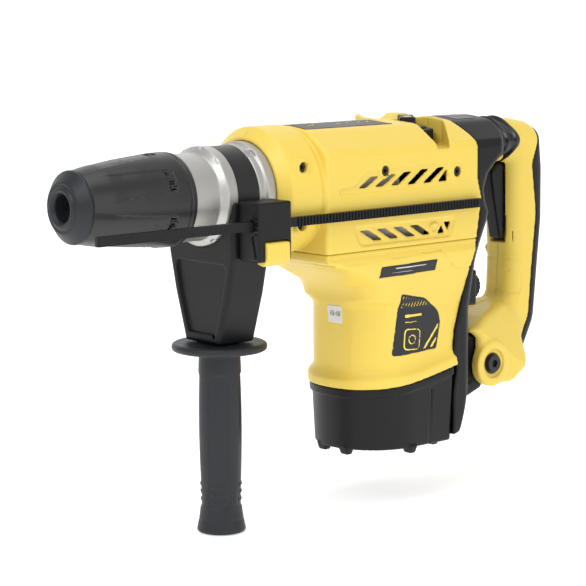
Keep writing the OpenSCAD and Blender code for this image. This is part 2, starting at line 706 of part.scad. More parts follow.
module handle_cavity() {
  plate_y(rounded([[-396, 3, 0], [-396, -53, 0], [-404, -58, 3], [-424, -58, 4], [-424, 10, 4],
                   [-404, 12, 3]]), -12, 12);
  plate_y([[-385, 1.5], [-385, -54], [-405, -57], [-405, 4]], -trigger_y - 0.6, trigger_y + 0.6);
  plate_y(rounded([[-380, 8, 0], [-380, 32, 0], [-415, 30, 4], [-415, 8, 4]]), -12, 12);
  plate_y(rounded([[-404, -68, 4], [-420, -68, 4], [-416, -130, 4], [-404, -130, 4]]), -10, 10);
}
handle_holes = [[-410, 33], [-411, -63], [-402, -138]];

module handle_half(s) {
  difference() {
    union() {
      handle_profile(s > 0 ? 0 : -grip_y, s > 0 ? grip_y : 0);
      translate([pivot[0], 0, pivot[1]])
        rod_y(17.5, s > 0 ? arm_y + 0.6 : -ear_y, s > 0 ? ear_y : -arm_y - 0.6);
      plate_y(rounded([[-379, -132, 2], [-392, -126, 6], [-402, -138, 6], [-392, -162, 6],
                       [-374, -161, 2]]), s > 0 ? 0 : -ear_y + 2, s > 0 ? ear_y - 2 : 0);
    }
    grip_zone();
    handle_cavity();
    translate([pivot[0], 0, pivot[1]]) {
      rod_y(arm_r + 0.9, -arm_y - 0.6, arm_y + 0.6);
      rod_y(8, -50, 50);
      for (y = [-50, ear_y - 2]) rod_y(11, y, y + 16.5 - (y < 0 ? 0 : 1));
    }
    for (p = handle_holes) translate([p[0], 0, p[1]]) {
      rod_y(1.9, -50, 4);
      rod_y(3.6, -50, 2.5 - grip_y);
    }
    translate([inlet_x, 0, 0]) { rod_z(7, -175, -146); rod_z(5, -147, -125); }
  }
  translate([trigger_pin[0], 0, trigger_pin[1]]) rod_y(1.55, s > 0 ? 0 : -12.5, s > 0 ? 12.5 : 0);
}
module handle_shell_left() color(yellow) handle_half(1);
module handle_shell_right() color(yellow) handle_half(-1);

module handle_grip() color(black)
  difference() {
    intersection() { handle_profile(-grip_y, grip_y); grip_zone(); }
    translate([inlet_x, 0, 0]) rod_z(7, -175, -146);
  }

module handle_screws() color(steel)
  mirror([0, 1, 0]) for (p = handle_holes) translate([p[0], 0, p[1]])
    screw_y(3.4, 1.9, -3.9, grip_y - 2.5, grip_y - 0.4);

module trigger() color(black)
  difference() {
    plate_y(rounded([[-389, 0.5, 2], [-395, -42, 8], [-399, -51, 2], [-404, -51, 1],
                     [-404.5, 1, 1]]), -trigger_y, trigger_y);
    translate([trigger_pin[0], 0, trigger_pin[1]]) rod_y(1.6, -20, 20);
  }

module switch_body() color([0.16, 0.16, 0.18]) {
  box([-423.8, -11, -48], [-412, 11, -6]);
  box([-412, -4, -14], [-409, 4, -8]);
}

module cord_gland() color(rubber) translate([inlet_x, 0, 0])
  difference() {
    rod_z(7, -154, -146);
    rod_z(4.5, -160, -140);
  }

module pivot_bolt() color(steel) translate([pivot[0], 0, pivot[1]]) {
  rod_y(8, -ear_y + 3, ear_y - 2);
  difference() {
    rod_y(6.5, ear_y - 2, ear_y + 0.5);
    rotate([90, 0, 0]) translate([0, 0, -ear_y - 2]) cylinder(r = 3.2, h = 4, $fn = 6);
  }
}

// ---- Selector ----

// Direction of the lever at rest
knob_rest = 49;

module selector_knob() color(black) translate([knob_x, 0, 0]) rotate(knob_rest)
  difference() {
    union() {
      rod_z(5.9, 16, 24.2);
      rod_z(20, 24.2, 37);
      rod_z(15, 37, 39);
      box([-16, -6, 37], [20, 6, 46]);
    }
    translate([13, 0, 0]) rod_z(3.2, 40, 50);
  }
module selector_button() color([0.8, 0.2, 0.1])
  translate([knob_x, 0, 0]) rotate(knob_rest) translate([13, 0, 0]) rod_z(3, 42, 47);

// ---- Side handle and depth stop ----

module clamp_band() color(black) ring_x(groove_r + run_gap, 34.1, groove_x[1] + 0.2, groove_x[0] - 0.2);

bracket_x = [-139, -106];
module handle_bracket() color(black)
  difference() {
    plate_x(rounded([[36, -2, 3], [36, -40, 6], [18, -103, 3], [-18, -103, 3], [-36, -40, 6],
                     [-36, -8, 3], [-30, -4, 1], [30, -2, 1]]), bracket_x[0], bracket_x[1]);
    rod_x(34.12, -145, -100);
    rod_x(35, -145, groove_x[1] + 0.2);
    rod_x(35, groove_x[0] - 0.2, -100);
    rod_x(37, -145, -136.5);
    // lightening panel on the front face
    plate_x(rounded([[24, -52, 5], [12, -92, 3], [-12, -92, 3], [-24, -52, 5]]), -107.5, -100);
    translate([side_x, 0, 0]) rod_z(5 + run_gap, -110, -52);
    translate([side_x, 0, 0]) rod_z(9, -66, -30);
  }

module clamp_bolt() color(steel) translate([side_x, 0, 0]) {
  rod_z(5, -135, -64);
}

module stop_block() color(black)
  difference() {
    plate_y(rounded([[block_x[0], -1, 2], [block_x[1], -2, 2], [block_x[1], -42, 2],
                     [block_x[0], -42, 2]]), 36, 57.5);
    box([-150, rod_y - rod_half[0] - 0.2, rod_z - rod_half[1] - 0.2],
        [-100, rod_y + rod_half[0] + 0.2, rod_z + rod_half[1] + 0.2]);
    box([-137.3, 43, -60], [-116.7, 60, -27.6]);
    rod_x(36.7, -150, -136.5);
  }

module depth_latch() color(yellow)
  plate_x(rounded([[60, -29, 1.5], [60.5, -42, 4], [54, -45.5, 3], [48, -44, 1], [48, -28, 1]]),
          -137, -117);

tooth_pitch = 3;
tooth_count = 60;
module depth_rod() color(black) {
  x1 = depth_len - 334;
  y1 = rod_y + rod_half[0];
  plate_z(concat(
    [[x1 - 1, rod_y - rod_half[0]], [x1, rod_y - rod_half[0] + 1], [x1, y1 - 1], [x1 - 1, y1]],
    [for (i = [0:tooth_count - 1], k = [[0, 0], [0.3, -0.8], [1.5, -0.8], [1.8, 0]])
      [-150 - tooth_pitch * i - k[0], y1 + k[1]]],
    [[-334, y1], [-334, rod_y - rod_half[0]]]), rod_z - rod_half[1], rod_z + rod_half[1]);
}

// Radius of the side grip at a height t from 0, under the flange, to 1, at its end
function grip_radius(t) = 14.6 + 1.3 * sin(180 * min(1, t * 1.25)) + 3.2 * pow(max(0, t - 0.84) / 0.16, 1.5)
  - (t > 0.97 ? 1.2 : 0);
module side_grip() color(rubber) translate([side_x, 0, 0]) {
  top = -104;
  n = 24;
  difference() {
    rotate_extrude() polygon(concat(
      [[0, top - 6 - side_len], [0, top - 1], [12, top], [32, top], [33.9, top - 1.5],
       [33.9, top - 4.5], [32, top - 6], [16, top - 6]],
      [for (i = [0:n]) [grip_radius(i / n), top - 8 - (side_len - 2) * i / n]]));
    rod_z(5, -135, top + 1);
  }
}

neck_barrel();
spindle_bearing();
tool_holder();
locking_rollers();
hammer_tube();
bevel_ring_gear();
dust_cap();
lock_sleeve();
sleeve_spring();
gear_case();
gear_case_lid();
gear_case_screws();
gearbox_bearings();
crankshaft();
crank_gear();
connecting_rod();
piston();
piston_pin();
piston_ring();
ram();
ram_ring();
beat_piece();
intermediate_gear();
bevel_pinion();
armature_shaft();
rotor_core();
armature_windings();
commutator();
cooling_fan();
motor_bearings();
stator_core();
field_coils();
brush_holders();
carbon_brushes();
upper_cover_left();
upper_cover_right();
cover_screws();
motor_housing();
motor_end_cap();
end_cap_screws();
rear_housing();
speed_dial();
handle_shell_left();
handle_shell_right();
handle_grip();
handle_screws();
trigger();
switch_body();
cord_gland();
pivot_bolt();
bellows();
selector_knob();
selector_button();
clamp_band();
handle_bracket();
clamp_bolt();
stop_block();
side_grip();
depth_rod();
depth_latch();
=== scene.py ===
"""Looks of a combination hammer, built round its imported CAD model.

Shapes are signed distances in millimetres in the row frame: negative inside, positive outside.
"""

import math

import bpy
import numpy as np
from mathutils import Matrix, Vector


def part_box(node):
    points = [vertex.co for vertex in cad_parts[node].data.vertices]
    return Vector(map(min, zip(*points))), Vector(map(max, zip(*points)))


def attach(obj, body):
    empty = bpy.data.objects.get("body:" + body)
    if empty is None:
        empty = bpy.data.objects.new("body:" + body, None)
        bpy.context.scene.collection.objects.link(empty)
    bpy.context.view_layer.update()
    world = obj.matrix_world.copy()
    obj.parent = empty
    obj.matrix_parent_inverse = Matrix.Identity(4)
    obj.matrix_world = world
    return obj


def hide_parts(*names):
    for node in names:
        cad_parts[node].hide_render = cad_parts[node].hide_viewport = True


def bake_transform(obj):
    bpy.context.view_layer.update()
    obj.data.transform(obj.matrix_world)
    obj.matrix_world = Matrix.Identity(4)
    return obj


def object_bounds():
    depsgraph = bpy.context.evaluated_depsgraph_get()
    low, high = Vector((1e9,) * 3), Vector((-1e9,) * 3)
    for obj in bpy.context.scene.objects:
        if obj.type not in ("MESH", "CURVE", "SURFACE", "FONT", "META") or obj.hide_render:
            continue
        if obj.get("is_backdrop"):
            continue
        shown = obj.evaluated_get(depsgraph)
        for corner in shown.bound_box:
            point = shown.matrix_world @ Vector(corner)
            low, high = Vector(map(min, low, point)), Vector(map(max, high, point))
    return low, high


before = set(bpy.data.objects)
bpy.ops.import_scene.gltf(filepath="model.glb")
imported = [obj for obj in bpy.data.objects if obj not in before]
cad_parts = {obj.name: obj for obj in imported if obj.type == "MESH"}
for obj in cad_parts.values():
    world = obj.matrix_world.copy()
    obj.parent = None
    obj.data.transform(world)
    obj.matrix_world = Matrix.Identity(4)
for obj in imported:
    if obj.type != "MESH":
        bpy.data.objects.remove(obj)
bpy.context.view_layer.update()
bpy.context.scene.view_settings.view_transform = "Standard"

MM = 0.001
CELL = 1.15
FINE = 0.75


# ---- Distances ----

def both(a, b, r=0.0):
    """Where a and b are both solid, with an edge of radius r."""
    if np.isscalar(r) and r <= 0:
        return np.maximum(a, b)
    return np.minimum(np.maximum(a, b), -r) + np.hypot(np.maximum(a + r, 0), np.maximum(b + r, 0))


def either(a, b, r=0.0):
    return -both(-a, -b, r)


def less(a, b, r=0.0):
    return both(a, -b, r)


def slab(v, lo, hi):
    return np.maximum(lo - v, v - hi)


def rod(a, b, centre_a, centre_b, r):
    return np.hypot(a - centre_a, b - centre_b) - r


def stroke(a, b, p, q, half):
    """Band of the given half width round the line from p to q, with round ends."""
    da, db = q[0] - p[0], q[1] - p[1]
    t = np.clip(((a - p[0]) * da + (b - p[1]) * db) / (da * da + db * db), 0, 1)
    return np.hypot(a - p[0] - t * da, b - p[1] - t * db) - half


def slanted(a, b, p, q, half):
    """Parallelogram round the line from p to q, with its ends level."""
    da, db = q[0] - p[0], q[1] - p[1]
    side = np.abs((a - p[0]) * db - (b - p[1]) * da) / math.hypot(da, db) - half
    return both(side, slab(b, min(p[1], q[1]), max(p[1], q[1])), 0.6)


def rounded(points, steps=5):
    """Outline with round corners, from points [a, b, radius]."""
    out = []
    n = len(points)
    for i, (a, b, r) in enumerate(points):
        here = Vector((a, b))
        if r <= 0:
            out.append((a, b))
            continue
        u = (Vector(points[i - 1][:2]) - here).normalized()
        v = (Vector(points[(i + 1) % n][:2]) - here).normalized()
        half = math.acos(max(-1, min(1, u.dot(v)))) / 2
        centre = here + (u + v).normalized() * r / math.sin(half)
        p = here + u * r / math.tan(half) - centre
        q = here + v * r / math.tan(half) - centre
        start = math.atan2(p.y, p.x)
        turn = (math.atan2(q.y, q.x) - start + math.pi) % (2 * math.pi) - math.pi
        out += [(centre.x + r * math.cos(start + turn * k / steps),
                 centre.y + r * math.sin(start + turn * k / steps)) for k in range(steps + 1)]
    return out


def outline(points):
    """Signed distance to a closed outline in two dimensions."""
    def distance(a, b):
        a, b = np.broadcast_arrays(a, b)
        near = np.full(a.shape, 1e12)
        inside = np.zeros(a.shape, bool)
        for (pa, pb), (qa, qb) in zip(points, points[1:] + points[:1]):
            da, db = qa - pa, qb - pb
            size = da * da + db * db
            if size < 1e-12:
                continue
            t = np.clip(((a - pa) * da + (b - pb) * db) / size, 0, 1)
            near = np.minimum(near, (a - pa - t * da) ** 2 + (b - pb - t * db) ** 2)
            if db:
                inside ^= ((pb > b) != (qb > b)) & (a < pa + da * (b - pb) / db)
        return np.where(inside, -1.0, 1.0) * np.sqrt(near)
    return distance


def shape(*points):
    return outline(rounded(list(points)))


def mirrored(*points):
    """Outline that is the same on both sides of a = 0, from its a > 0 half."""
    other = [(-a, b, r) for a, b, r in reversed(points) if a > 0]
    return outline(rounded(list(points) + other))


# ---- Meshes ----

def crossing_cells(v, axis):
    """Grid edges along one axis that pass through the surface: their places and their four cells."""
    low = [slice(None)] * 3
    high = [slice(None)] * 3
    low[axis], high[axis] = slice(0, -1), slice(1, None)
    a, b = v[tuple(low)], v[tuple(high)]
    cross = (a < 0) != (b < 0)
    index = np.argwhere(cross)
    a, b = a[cross], b[cross]
    place = index.astype(float)
    place[:, axis] += a / (a - b)
    second, third = (axis + 1) % 3, (axis + 2) % 3
    cells = np.repeat(index[:, None, :], 4, axis=1)
    for k, (m, n) in enumerate(((-1, -1), (0, -1), (0, 0), (-1, 0))):
        cells[:, k, second] += m
        cells[:, k, third] += n
    cells[a > 0] = cells[a > 0][:, ::-1]
    return place, cells


def settle(solid, points, step):
    """Moves the points onto the surface."""
    h = 0.2 * step
    for _ in range(2):
        x, y, z = points.T
        d = solid(x, y, z)
        slope = np.stack([solid(x + h, y, z) - d, solid(x, y + h, z) - d, solid(x, y, z + h) - d], 1) / h
        move = -slope * (d / np.maximum((slope ** 2).sum(1), 0.2))[:, None]
        length = np.maximum(np.linalg.norm(move, axis=1), 1e-9)
        points = points + move * np.minimum(1, 0.7 * step / length)[:, None]
    return points


def surface(name, solid, lo, hi, step):
    """Mesh of the surface where the distance is zero, inside the box from lo to hi."""
    grid = [np.arange(lo[i] - 2 * step, hi[i] + 3 * step, step) for i in range(3)]
    x, y, z = np.ix_(*grid)
    sizes = tuple(len(g) for g in grid)
    v = np.broadcast_to(solid(x, y, z), sizes).astype(np.float32)
    many = np.array(sizes) - 1
    places, quads = [], []
    for axis in range(3):
        place, cells = crossing_cells(v, axis)
        places.append(np.repeat(place, 4, axis=0))
        quads.append(np.ravel_multi_index(cells.reshape(-1, 3).T, many))
    flat, place = np.concatenate(quads), np.concatenate(places)
    corner = np.unique(flat, return_inverse=True)[1]
    count = np.bincount(corner)
    points = np.stack([np.bincount(corner, place[:, i]) / count for i in range(3)], 1)
    points = settle(solid, points * step + np.array([g[0] for g in grid]), step)
    mesh = bpy.data.meshes.new(name)
    mesh.vertices.add(len(points))
    mesh.vertices.foreach_set("co", (points * MM).astype(np.float32).ravel())
    mesh.loops.add(len(corner))
    mesh.loops.foreach_set("vertex_index", corner.astype(np.int32).ravel())
    mesh.polygons.add(len(corner) // 4)
    mesh.polygons.foreach_set("loop_start", np.arange(0, len(corner), 4, dtype=np.int32))
    mesh.update(calc_edges=True)
    mesh.shade_smooth()
    return mesh


def piece(name, body, solid, lo, hi, look, stands_for=(), step=None):
    """A finished piece: meshed, painted and riding on its CAD body."""
    mesh = surface(name, solid, lo, hi, step or CELL)
    mesh.materials.append(look)
    made = bpy.data.objects.new(name, mesh)
    bpy.context.scene.collection.objects.link(made)
    if body:
        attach(made, body)
    if stands_for:
        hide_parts(*stands_for)
    return made


def node_box(name, spare=1.0):
    """Box of a CAD node in millimetres, with a little room round it."""
    lo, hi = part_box(name)
    return [c / MM - spare for c in lo], [c / MM + spare for c in hi]


# ---- Materials ----

def look(name, colour, rough, metal=0.0, grain=600.0, bump=0.15, spread=0.12, wear=0.04,
         coat=0.0, brushed=None, gloss=0.5, glow=0.0):
    """Surface with fine grain in its relief, and slow changes in roughness and tone."""
    m = bpy.data.materials.new(name)
    m.use_nodes = True
    nodes, links = m.node_tree.nodes, m.node_tree.links
    shader = nodes["Principled BSDF"]
    shader.inputs["Metallic"].default_value = metal
    shader.inputs["Coat Weight"].default_value = coat
    shader.inputs["Specular IOR Level"].default_value = gloss
    shader.inputs["Emission Color"].default_value = (1, 1, 1, 1)
    shader.inputs["Emission Strength"].default_value = glow
    place = nodes.new("ShaderNodeTexCoord")
    stretch = nodes.new("ShaderNodeMapping")
    stretch.inputs["Scale"].default_value = brushed or (1, 1, 1)
    links.new(place.outputs["Object"], stretch.inputs["Vector"])

    fine = nodes.new("ShaderNodeTexNoise")
    fine.inputs["Scale"].default_value = grain
    fine.inputs["Detail"].default_value = 3
    links.new(stretch.outputs["Vector"], fine.inputs["Vector"])
    slow = nodes.new("ShaderNodeTexNoise")
    slow.inputs["Scale"].default_value = 14
    slow.inputs["Detail"].default_value = 5
    links.new(place.outputs["Object"], slow.inputs["Vector"])

    relief = nodes.new("ShaderNodeBump")
    relief.inputs["Strength"].default_value = bump
    relief.inputs["Distance"].default_value = 0.0004
    links.new(fine.outputs["Fac"], relief.inputs["Height"])
    links.new(relief.outputs["Normal"], shader.inputs["Normal"])

    range_rough = nodes.new("ShaderNodeMapRange")
    range_rough.inputs["From Min"].default_value = 0.3
    range_rough.inputs["From Max"].default_value = 0.7
    range_rough.inputs["To Min"].default_value = max(0.02, rough - spread / 2)
    range_rough.inputs["To Max"].default_value = min(1.0, rough + spread / 2)
    links.new(slow.outputs["Fac"], range_rough.inputs["Value"])
    links.new(range_rough.outputs["Result"], shader.inputs["Roughness"])

    tone = nodes.new("ShaderNodeMix")
    tone.data_type = "RGBA"
    tone.inputs["A"].default_value = (*[c * (1 - wear) for c in colour], 1)
    tone.inputs["B"].default_value = (*[min(1, c * (1 + wear)) for c in colour], 1)
    links.new(slow.outputs["Fac"], tone.inputs["Factor"])
    links.new(tone.outputs["Result"], shader.inputs["Base Color"])
    return m


YELLOW = look("yellow_plastic", (0.82, 0.605, 0.10), 0.38, grain=1500, bump=0.05, spread=0.08, wear=0.02,
              gloss=0.4)
BLACK = look("black_plastic", (0.007, 0.007, 0.008), 0.42, grain=1300, bump=0.14, wear=0.15, gloss=0.26)
SLEEVE = look("sleeve_plastic", (0.014, 0.014, 0.015), 0.36, grain=1300, bump=0.12, wear=0.15, gloss=0.5)
SOFT = look("soft_grip", (0.007, 0.007, 0.008), 0.55, grain=1700, bump=0.2, wear=0.15, gloss=0.35)
GLOSSY = look("bellows_rubber", (0.009, 0.009, 0.011), 0.24, grain=900, bump=0.06, wear=0.15, gloss=0.5)
RUBBER = look("dark_rubber", (0.013, 0.015, 0.019), 0.46, grain=1400, bump=0.2, wear=0.15, gloss=0.4)
ALLOY = look("satin_alloy", (0.52, 0.51, 0.49), 0.42, metal=0.85, grain=900, bump=0.05,
             brushed=(8, 1, 1))
STEEL = look("steel", (0.42, 0.42, 0.43), 0.34, metal=1.0, grain=900, bump=0.06)
DARK_STEEL = look("black_oxide_steel", (0.045, 0.045, 0.048), 0.38, metal=0.8, grain=900, bump=0.08)
COPPER = look("winding_copper", (0.72, 0.30, 0.14), 0.4, metal=0.9, grain=500, bump=0.3)
CARBON = look("carbon", (0.03, 0.03, 0.03), 0.7, grain=900, bump=0.2)
BRASS = look("brass", (0.75, 0.55, 0.22), 0.35, metal=0.95, grain=900, bump=0.05)
LABEL_BLACK = look("label_black", (0.016, 0.017, 0.020), 0.36, grain=400, bump=0.02, spread=0.05, gloss=0.35)
LABEL_WHITE = look("label_white", (0.72, 0.72, 0.70), 0.4, grain=500, bump=0.03)
LABEL_YELLOW = look("label_yellow", (0.93, 0.72, 0.08), 0.35, grain=500, bump=0.03)

# ---- Main sizes, in millimetres ----

COLLAR_R = 46.0
motor_x = (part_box("armature_shaft")[0].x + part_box("armature_shaft")[1].x) / 2 / MM
knob_x = (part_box("selector_knob")[0].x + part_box("selector_knob")[1].x) / 2 / MM
side_x = (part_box("clamp_bolt")[0].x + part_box("clamp_bolt")[1].x) / 2 / MM
seam_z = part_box("motor_housing")[1].z / MM
rim_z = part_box("motor_end_cap")[1].z / MM
cap_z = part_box("motor_end_cap")[0].z / MM + 4
grip_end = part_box("side_grip")[0].z / MM
pivot = (-365.0, -145.0)
WALL = 3.0
COLLAR_END = -183.5

# Line between the yellow shells and the black rear housing, as (x, z)
rear_seam = [(-330, 60), (-330, 41), (-334, 34), (-335, 27), (-335, 0), (-339, -14),
             (-334, seam_z), (-328, -62), (-313, -112), (-311, -130), (-314, rim_z)]
ahead_of_seam = outline(rear_seam + [(-300, -230), (60, -230), (60, 60)])


# ---- Chuck ----

def dust_cap():
    profile = shape((9.4, 9.2, 0.6), (17.2, 9.7, 2.5), (24.6, 3.2, 1.2), (25.0, 1.4, 0.4),
                    (17.8, 1.4, 0), (17.8, -6, 0), (14.6, -6, 0), (14.6, 0, 0.3), (9.4, 0, 0.3))

    def solid(x, y, z):
        rho = np.hypot(y, z)
        lip = rod(rho, x, 12.2, 9.0, 2.2)
        groove = rod(rho, x, 15.6, 10.4, 0.9)
        return either(less(profile(rho, x), groove, 0.5), lip, 0.4)
    lo, hi = node_box("dust_cap")
    piece("dust_cap_moulding", "spindle", solid, lo, hi, RUBBER, ["dust_cap"], FINE)


def lock_sleeve():
    profile = shape((18.4, 1.1, 0.4), (24.4, 1.1, 1), (27.6, -15, 30), (30.4, -38, 60), (32.2, -60, 40),
                    (32.7, -73.4, 1.2), (31.6, -74.6, 0.5), (32.5, -75.8, 1), (31.9, -79.4, 0.8),
                    (30.9, -79.4, 0.2), (30.9, -58, 1), (20, -54, 1), (20, -20, 0), (14.55, -20, 0),
                    (14.55, -13, 0), (18.4, -13, 0))
    outside = shape((0, 1.1, 0), (24.4, 1.1, 1), (27.6, -15, 30), (30.4, -38, 60), (32.2, -60, 40),
                    (32.7, -73.4, 1.2), (32.7, -79.4, 0), (0, -79.4, 0))
    panel = mirrored((10.5, 6, 0), (9.8, -20, 30), (8.4, -64, 3.5))
    arrow = shape((0, -60, 0.4), (4.2, -54, 0.4), (1.9, -54, 0.2), (1.9, -46, 0.2),
                  (-1.9, -46, 0.2), (-1.9, -54, 0.2), (-4.2, -54, 0.4))

    def solid(x, y, z):
        rho = np.hypot(y, z)
        sixth = np.arctan2(z, y) / (math.pi / 3) - 0.5
        whole = np.round(sixth)
        across = (sixth - whole) * (math.pi / 3) * rho
        skin = profile(rho, x)
        under = outside(rho, x)
        sunk = both(panel(across, x), -under - np.clip((-10 - x) * 0.05, 0, 0.75), 0)
        body = less(skin, sunk, 0.4)
        on_side = np.where(whole == -1, -1.0, 1.0)
        line = both(np.abs(arrow(across, x)) - 0.3, on_side, 0)
        return less(body, both(line, -under - 1.1, 0), 0.2)
    lo, hi = node_box("lock_sleeve")
    piece("lock_sleeve_moulding", "sleeve", solid, lo, hi, SLEEVE, ["lock_sleeve"], FINE)


def neck():
    profile = shape((28, -74, 0.6), (30.5, -77, 0.8), (30.5, -100.4, 0.6), (34.7, -104, 0.8),
                    (34.7, -112.4, 0.4), (30, -112.4, 0.4), (30, -131.8, 0.4), (34.7, -131.8, 0.4),
                    (34.7, -137, 0.3), (36.3, -138, 0.6), (36.3, -150, 0), (22, -150, 0), (22, -92, 0),
                    (26, -92, 0), (26, -74, 0.3))

    def solid(x, y, z):
        rho = np.hypot(y, z)
        angle = np.arctan2(z, y)
        body = profile(rho, x)
        for at in (50, 80, 110, 230, 300):
            turn = math.radians(at)
            across = rho * np.sin(angle - turn)
            near = np.cos(angle - turn) * rho
            notch = both(both(np.abs(across) - 2.2, slab(x, -104.8, -98), 0), 33.4 - near, 0)
            body = less(body, notch, 0.3)
        gap = both(both(slab(x, -138.8, -131), np.abs(y * 0.6 - z * 0.8 + 12) - 3, 0), 33.4 - rho, 0)
        return less(body, both(gap, -y - z, 0), 0.3)
    lo, hi = node_box("neck_barrel")
    piece("neck_casting", "machine", solid, lo, hi, ALLOY, ["neck_barrel"], FINE)


# ---- Yellow covers ----

def cover_section(d):
    return mirrored((46 - d, -60, 0), (46 - d, 24, 1.2), (43.6 - d, 29, 2), (24, 42.6 - d, 18),
                    (0, 45.6 - d, 60))


def cover_solid(d):
    """The upper housing before its details, inset by d."""
    section = cover_section(d)
    # the collar is a full turned shape that closes below the body
    collar = shape((0, -145 - 1.6 * d, 0), (38.5, -145 - 1.6 * d, 0.6), (46 - d, -152.5 - 1.2 * d, 1.2),
                   (46 - d, -179.5, 1.5), (44.4 - d, -181, 0.8), (44.4 - d, COLLAR_END - d, 0),
                   (0, COLLAR_END - d, 0))

    def solid(x, y, z):
        body = both(section(y, z), x - COLLAR_END + d, 3.0)
        return either(body, collar(np.hypot(y, z), x), 1.0)
    return solid


COVER_HOLES = [(-164, 19), (-240, 12), (-313, 7), (-162, -21)]
UPPER_SLOTS = [((-219, 1), (-231, 8.5)), ((-235, 1), (-248, 9)), ((-250.5, 1), (-264, 9.8)),
               ((-266.5, 0.5), (-281, 10.6)), ((-282.5, 0.5), (-298, 11))]
LOWER_SLOTS = [((-220, -29.5), (-234, -37.5)), ((-236.5, -29.5), (-250.5, -37.5)),
               ((-253, -29.5), (-267, -37.5)), ((-269.5, -29.5), (-283, -37.5))]

BLANK_BOSS = (-289.5, -33.5)


def side_recess(x, z):
    """Outlines of the two sunk panels that hold the vents."""
    upper = shape((-196, 1, 2), (-211, 2.2, 8), (-222, 12.2, 6), (-302, 14.5, 3), (-306.5, -3, 3),
                  (-196, -3, 2))(x, z)
    lower = shape((-209, -26.5, 3), (-216, -40.5, 4), (-306, -40.5, 4), (-312, -26.5, 3))(x, z)
    return np.minimum(upper, lower)


def vents(x, z):
    """Openings of the vents."""
    d = np.full(np.broadcast_shapes(x.shape, z.shape), 99.0)
    for p, q in UPPER_SLOTS + LOWER_SLOTS:
        d = np.minimum(d, slanted(x, z, p, q, 2.1))
    d = np.minimum(d, shape((-294, 0.6, 0.6), (-303.5, 9.5, 0.6), (-303.5, 0.6, 0.6))(x, z))
    d = np.minimum(d, shape((-293.5, -37.6, 0.5), (-298, -31.6, 0.5), (-301, -37.6, 0.5))(x, z))
    d = np.minimum(d, shape((-300.5, -29.6, 0.5), (-307.5, -29.6, 0.5), (-304.4, -36.2, 0.5))(x, z))
    return less(d, rod(x, z, *BLANK_BOSS, 5.6), 0)


def knob_pocket(x, y, z):
    """Room round the selector knob, open to the top and to the left."""
    notch = shape((knob_x, 0, 0), (-288.5, 14, 4), (-292.5, 24, 12), (-293.6, 50, 0), (-302.5, 50, 0),
                  (-326.5, 16, 3), (-326.5, 0, 0))(x, y)
    facet = shape((knob_x, 0, 0), (-296, 50, 0), (-309, 50, 0), (-330, 21.5, 2), (-327.5, 14, 1))(x, y)
    room = both(np.minimum(notch, rod(x, y, knob_x, 0, 21.2)), 24.3 - z, 0.5)
    return np.minimum(room, both(facet, 28.4 + np.maximum(0, 44 - y) * 0.85 - z, 0.3))


def guards(x, y, z):
    """Raised rims in front of the knob and on its far side."""
    ring = np.abs(np.hypot(x - knob_x, y) - 36.5) - 2.0
    height = 46.3 + np.clip(-y * 0.07, -1, 1.6) - np.maximum(0, y) ** 2 / 80
    front = both(both(ring, z - height, 1.2), both(both(knob_x - x + 20, y - 24, 0), -y - 30, 0), 2)
    far = shape((-296, 36, 0), (-310, 41.5, 4), (-320, 46.8, 5), (-336, 46.4, 8), (-348, 46, 2),
                (-348, 28, 0), (-296, 28, 0))(x, z)
    far = both(both(far, slab(y, -39, -22.6), 3.5), slab(z, 22, 60), 0)
    return either(front, far, 1.5)


def cover(x, y, z):
    ay = np.abs(y)
    outer = cover_solid(0)(x, y, z)
    outer = either(outer, guards(x, y, z), 2.0)
    skin = 46 - ay
    shallow = both(side_recess(x, z), skin - 1.1, 0)
    outer = less(outer, shallow, 0.5)
    for hx, hz in COVER_HOLES:
        on_collar = hx > -181
        top = math.sqrt(COLLAR_R ** 2 - hz * hz) + 0.6 if on_collar else 46.5
        bossed = both(rod(x, z, hx, hz, 6.0), slab(ay, 36, top), 0.8)
        outer = either(outer, bossed, 0.6)
    outer = either(outer, both(rod(x, z, *BLANK_BOSS, 4.6), slab(ay, 40, 46.2), 0.6), 0.4)
    outer = less(outer, both(rod(x, z, *BLANK_BOSS, 2.9), 45.2 - ay, 0), 0.3)
    inner = cover_solid(WALL)(x, y, z)
    hollow = less(inner, both(rod(x, y, knob_x, 0, 24), slab(z, 21.5, 60), 0), 0)
    walls = both(shape((knob_x, 0, 0), (-288, 20, 0), (-289, 60, 0), (-311, 60, 0), (-329, 26, 0),
                       (-329, 0, 0))(x, y), 22 - z, 0)
    hollow = less(hollow, walls, 0)
    shell = less(outer, hollow, 0)
    for hx, hz in COVER_HOLES:
        boss = both(rod(x, z, hx, hz, 5.4), slab(ay, 36.4, 44), 0)
        shell = np.minimum(shell, boss)
    shell = less(shell, knob_pocket(x, y, z), 0.8)
    shell = less(shell, both(rod(x, y, knob_x, 0, 6.2), slab(z, 0, 40), 0), 0)
    shell = less(shell, both(vents(x, z), 34 - ay, 0), 0.5)
    for hx, hz in COVER_HOLES:
        seat = math.sqrt(COLLAR_R ** 2 - hz * hz) - 3.4 if hx > -181 else 42.8
        shell = less(shell, both(rod(x, z, hx, hz, 3.9), seat - ay, 0), 0.4)
        shell = less(shell, both(rod(x, z, hx, hz, 1.9), 30 - ay, 0), 0)
    # moulded line along the collar and under the upper panel
    line = both(np.abs(z - 1.6) - 0.35, slab(x, -196, -144), 0)
    shell = less(shell, both(line, np.hypot(y, z) * -1 + 45.4, 0), 0.25)
    shell = less(shell, both(rod(y, z, 0, 0, 36.6), slab(x, -152, -140), 0), 0.3)
    shell = both(shell, ahead_of_seam(x, z) + 0.15, 0.4)
    return both(shell, either(seam_z + 0.15 - z, COLLAR_END - x, 0), 0.4)


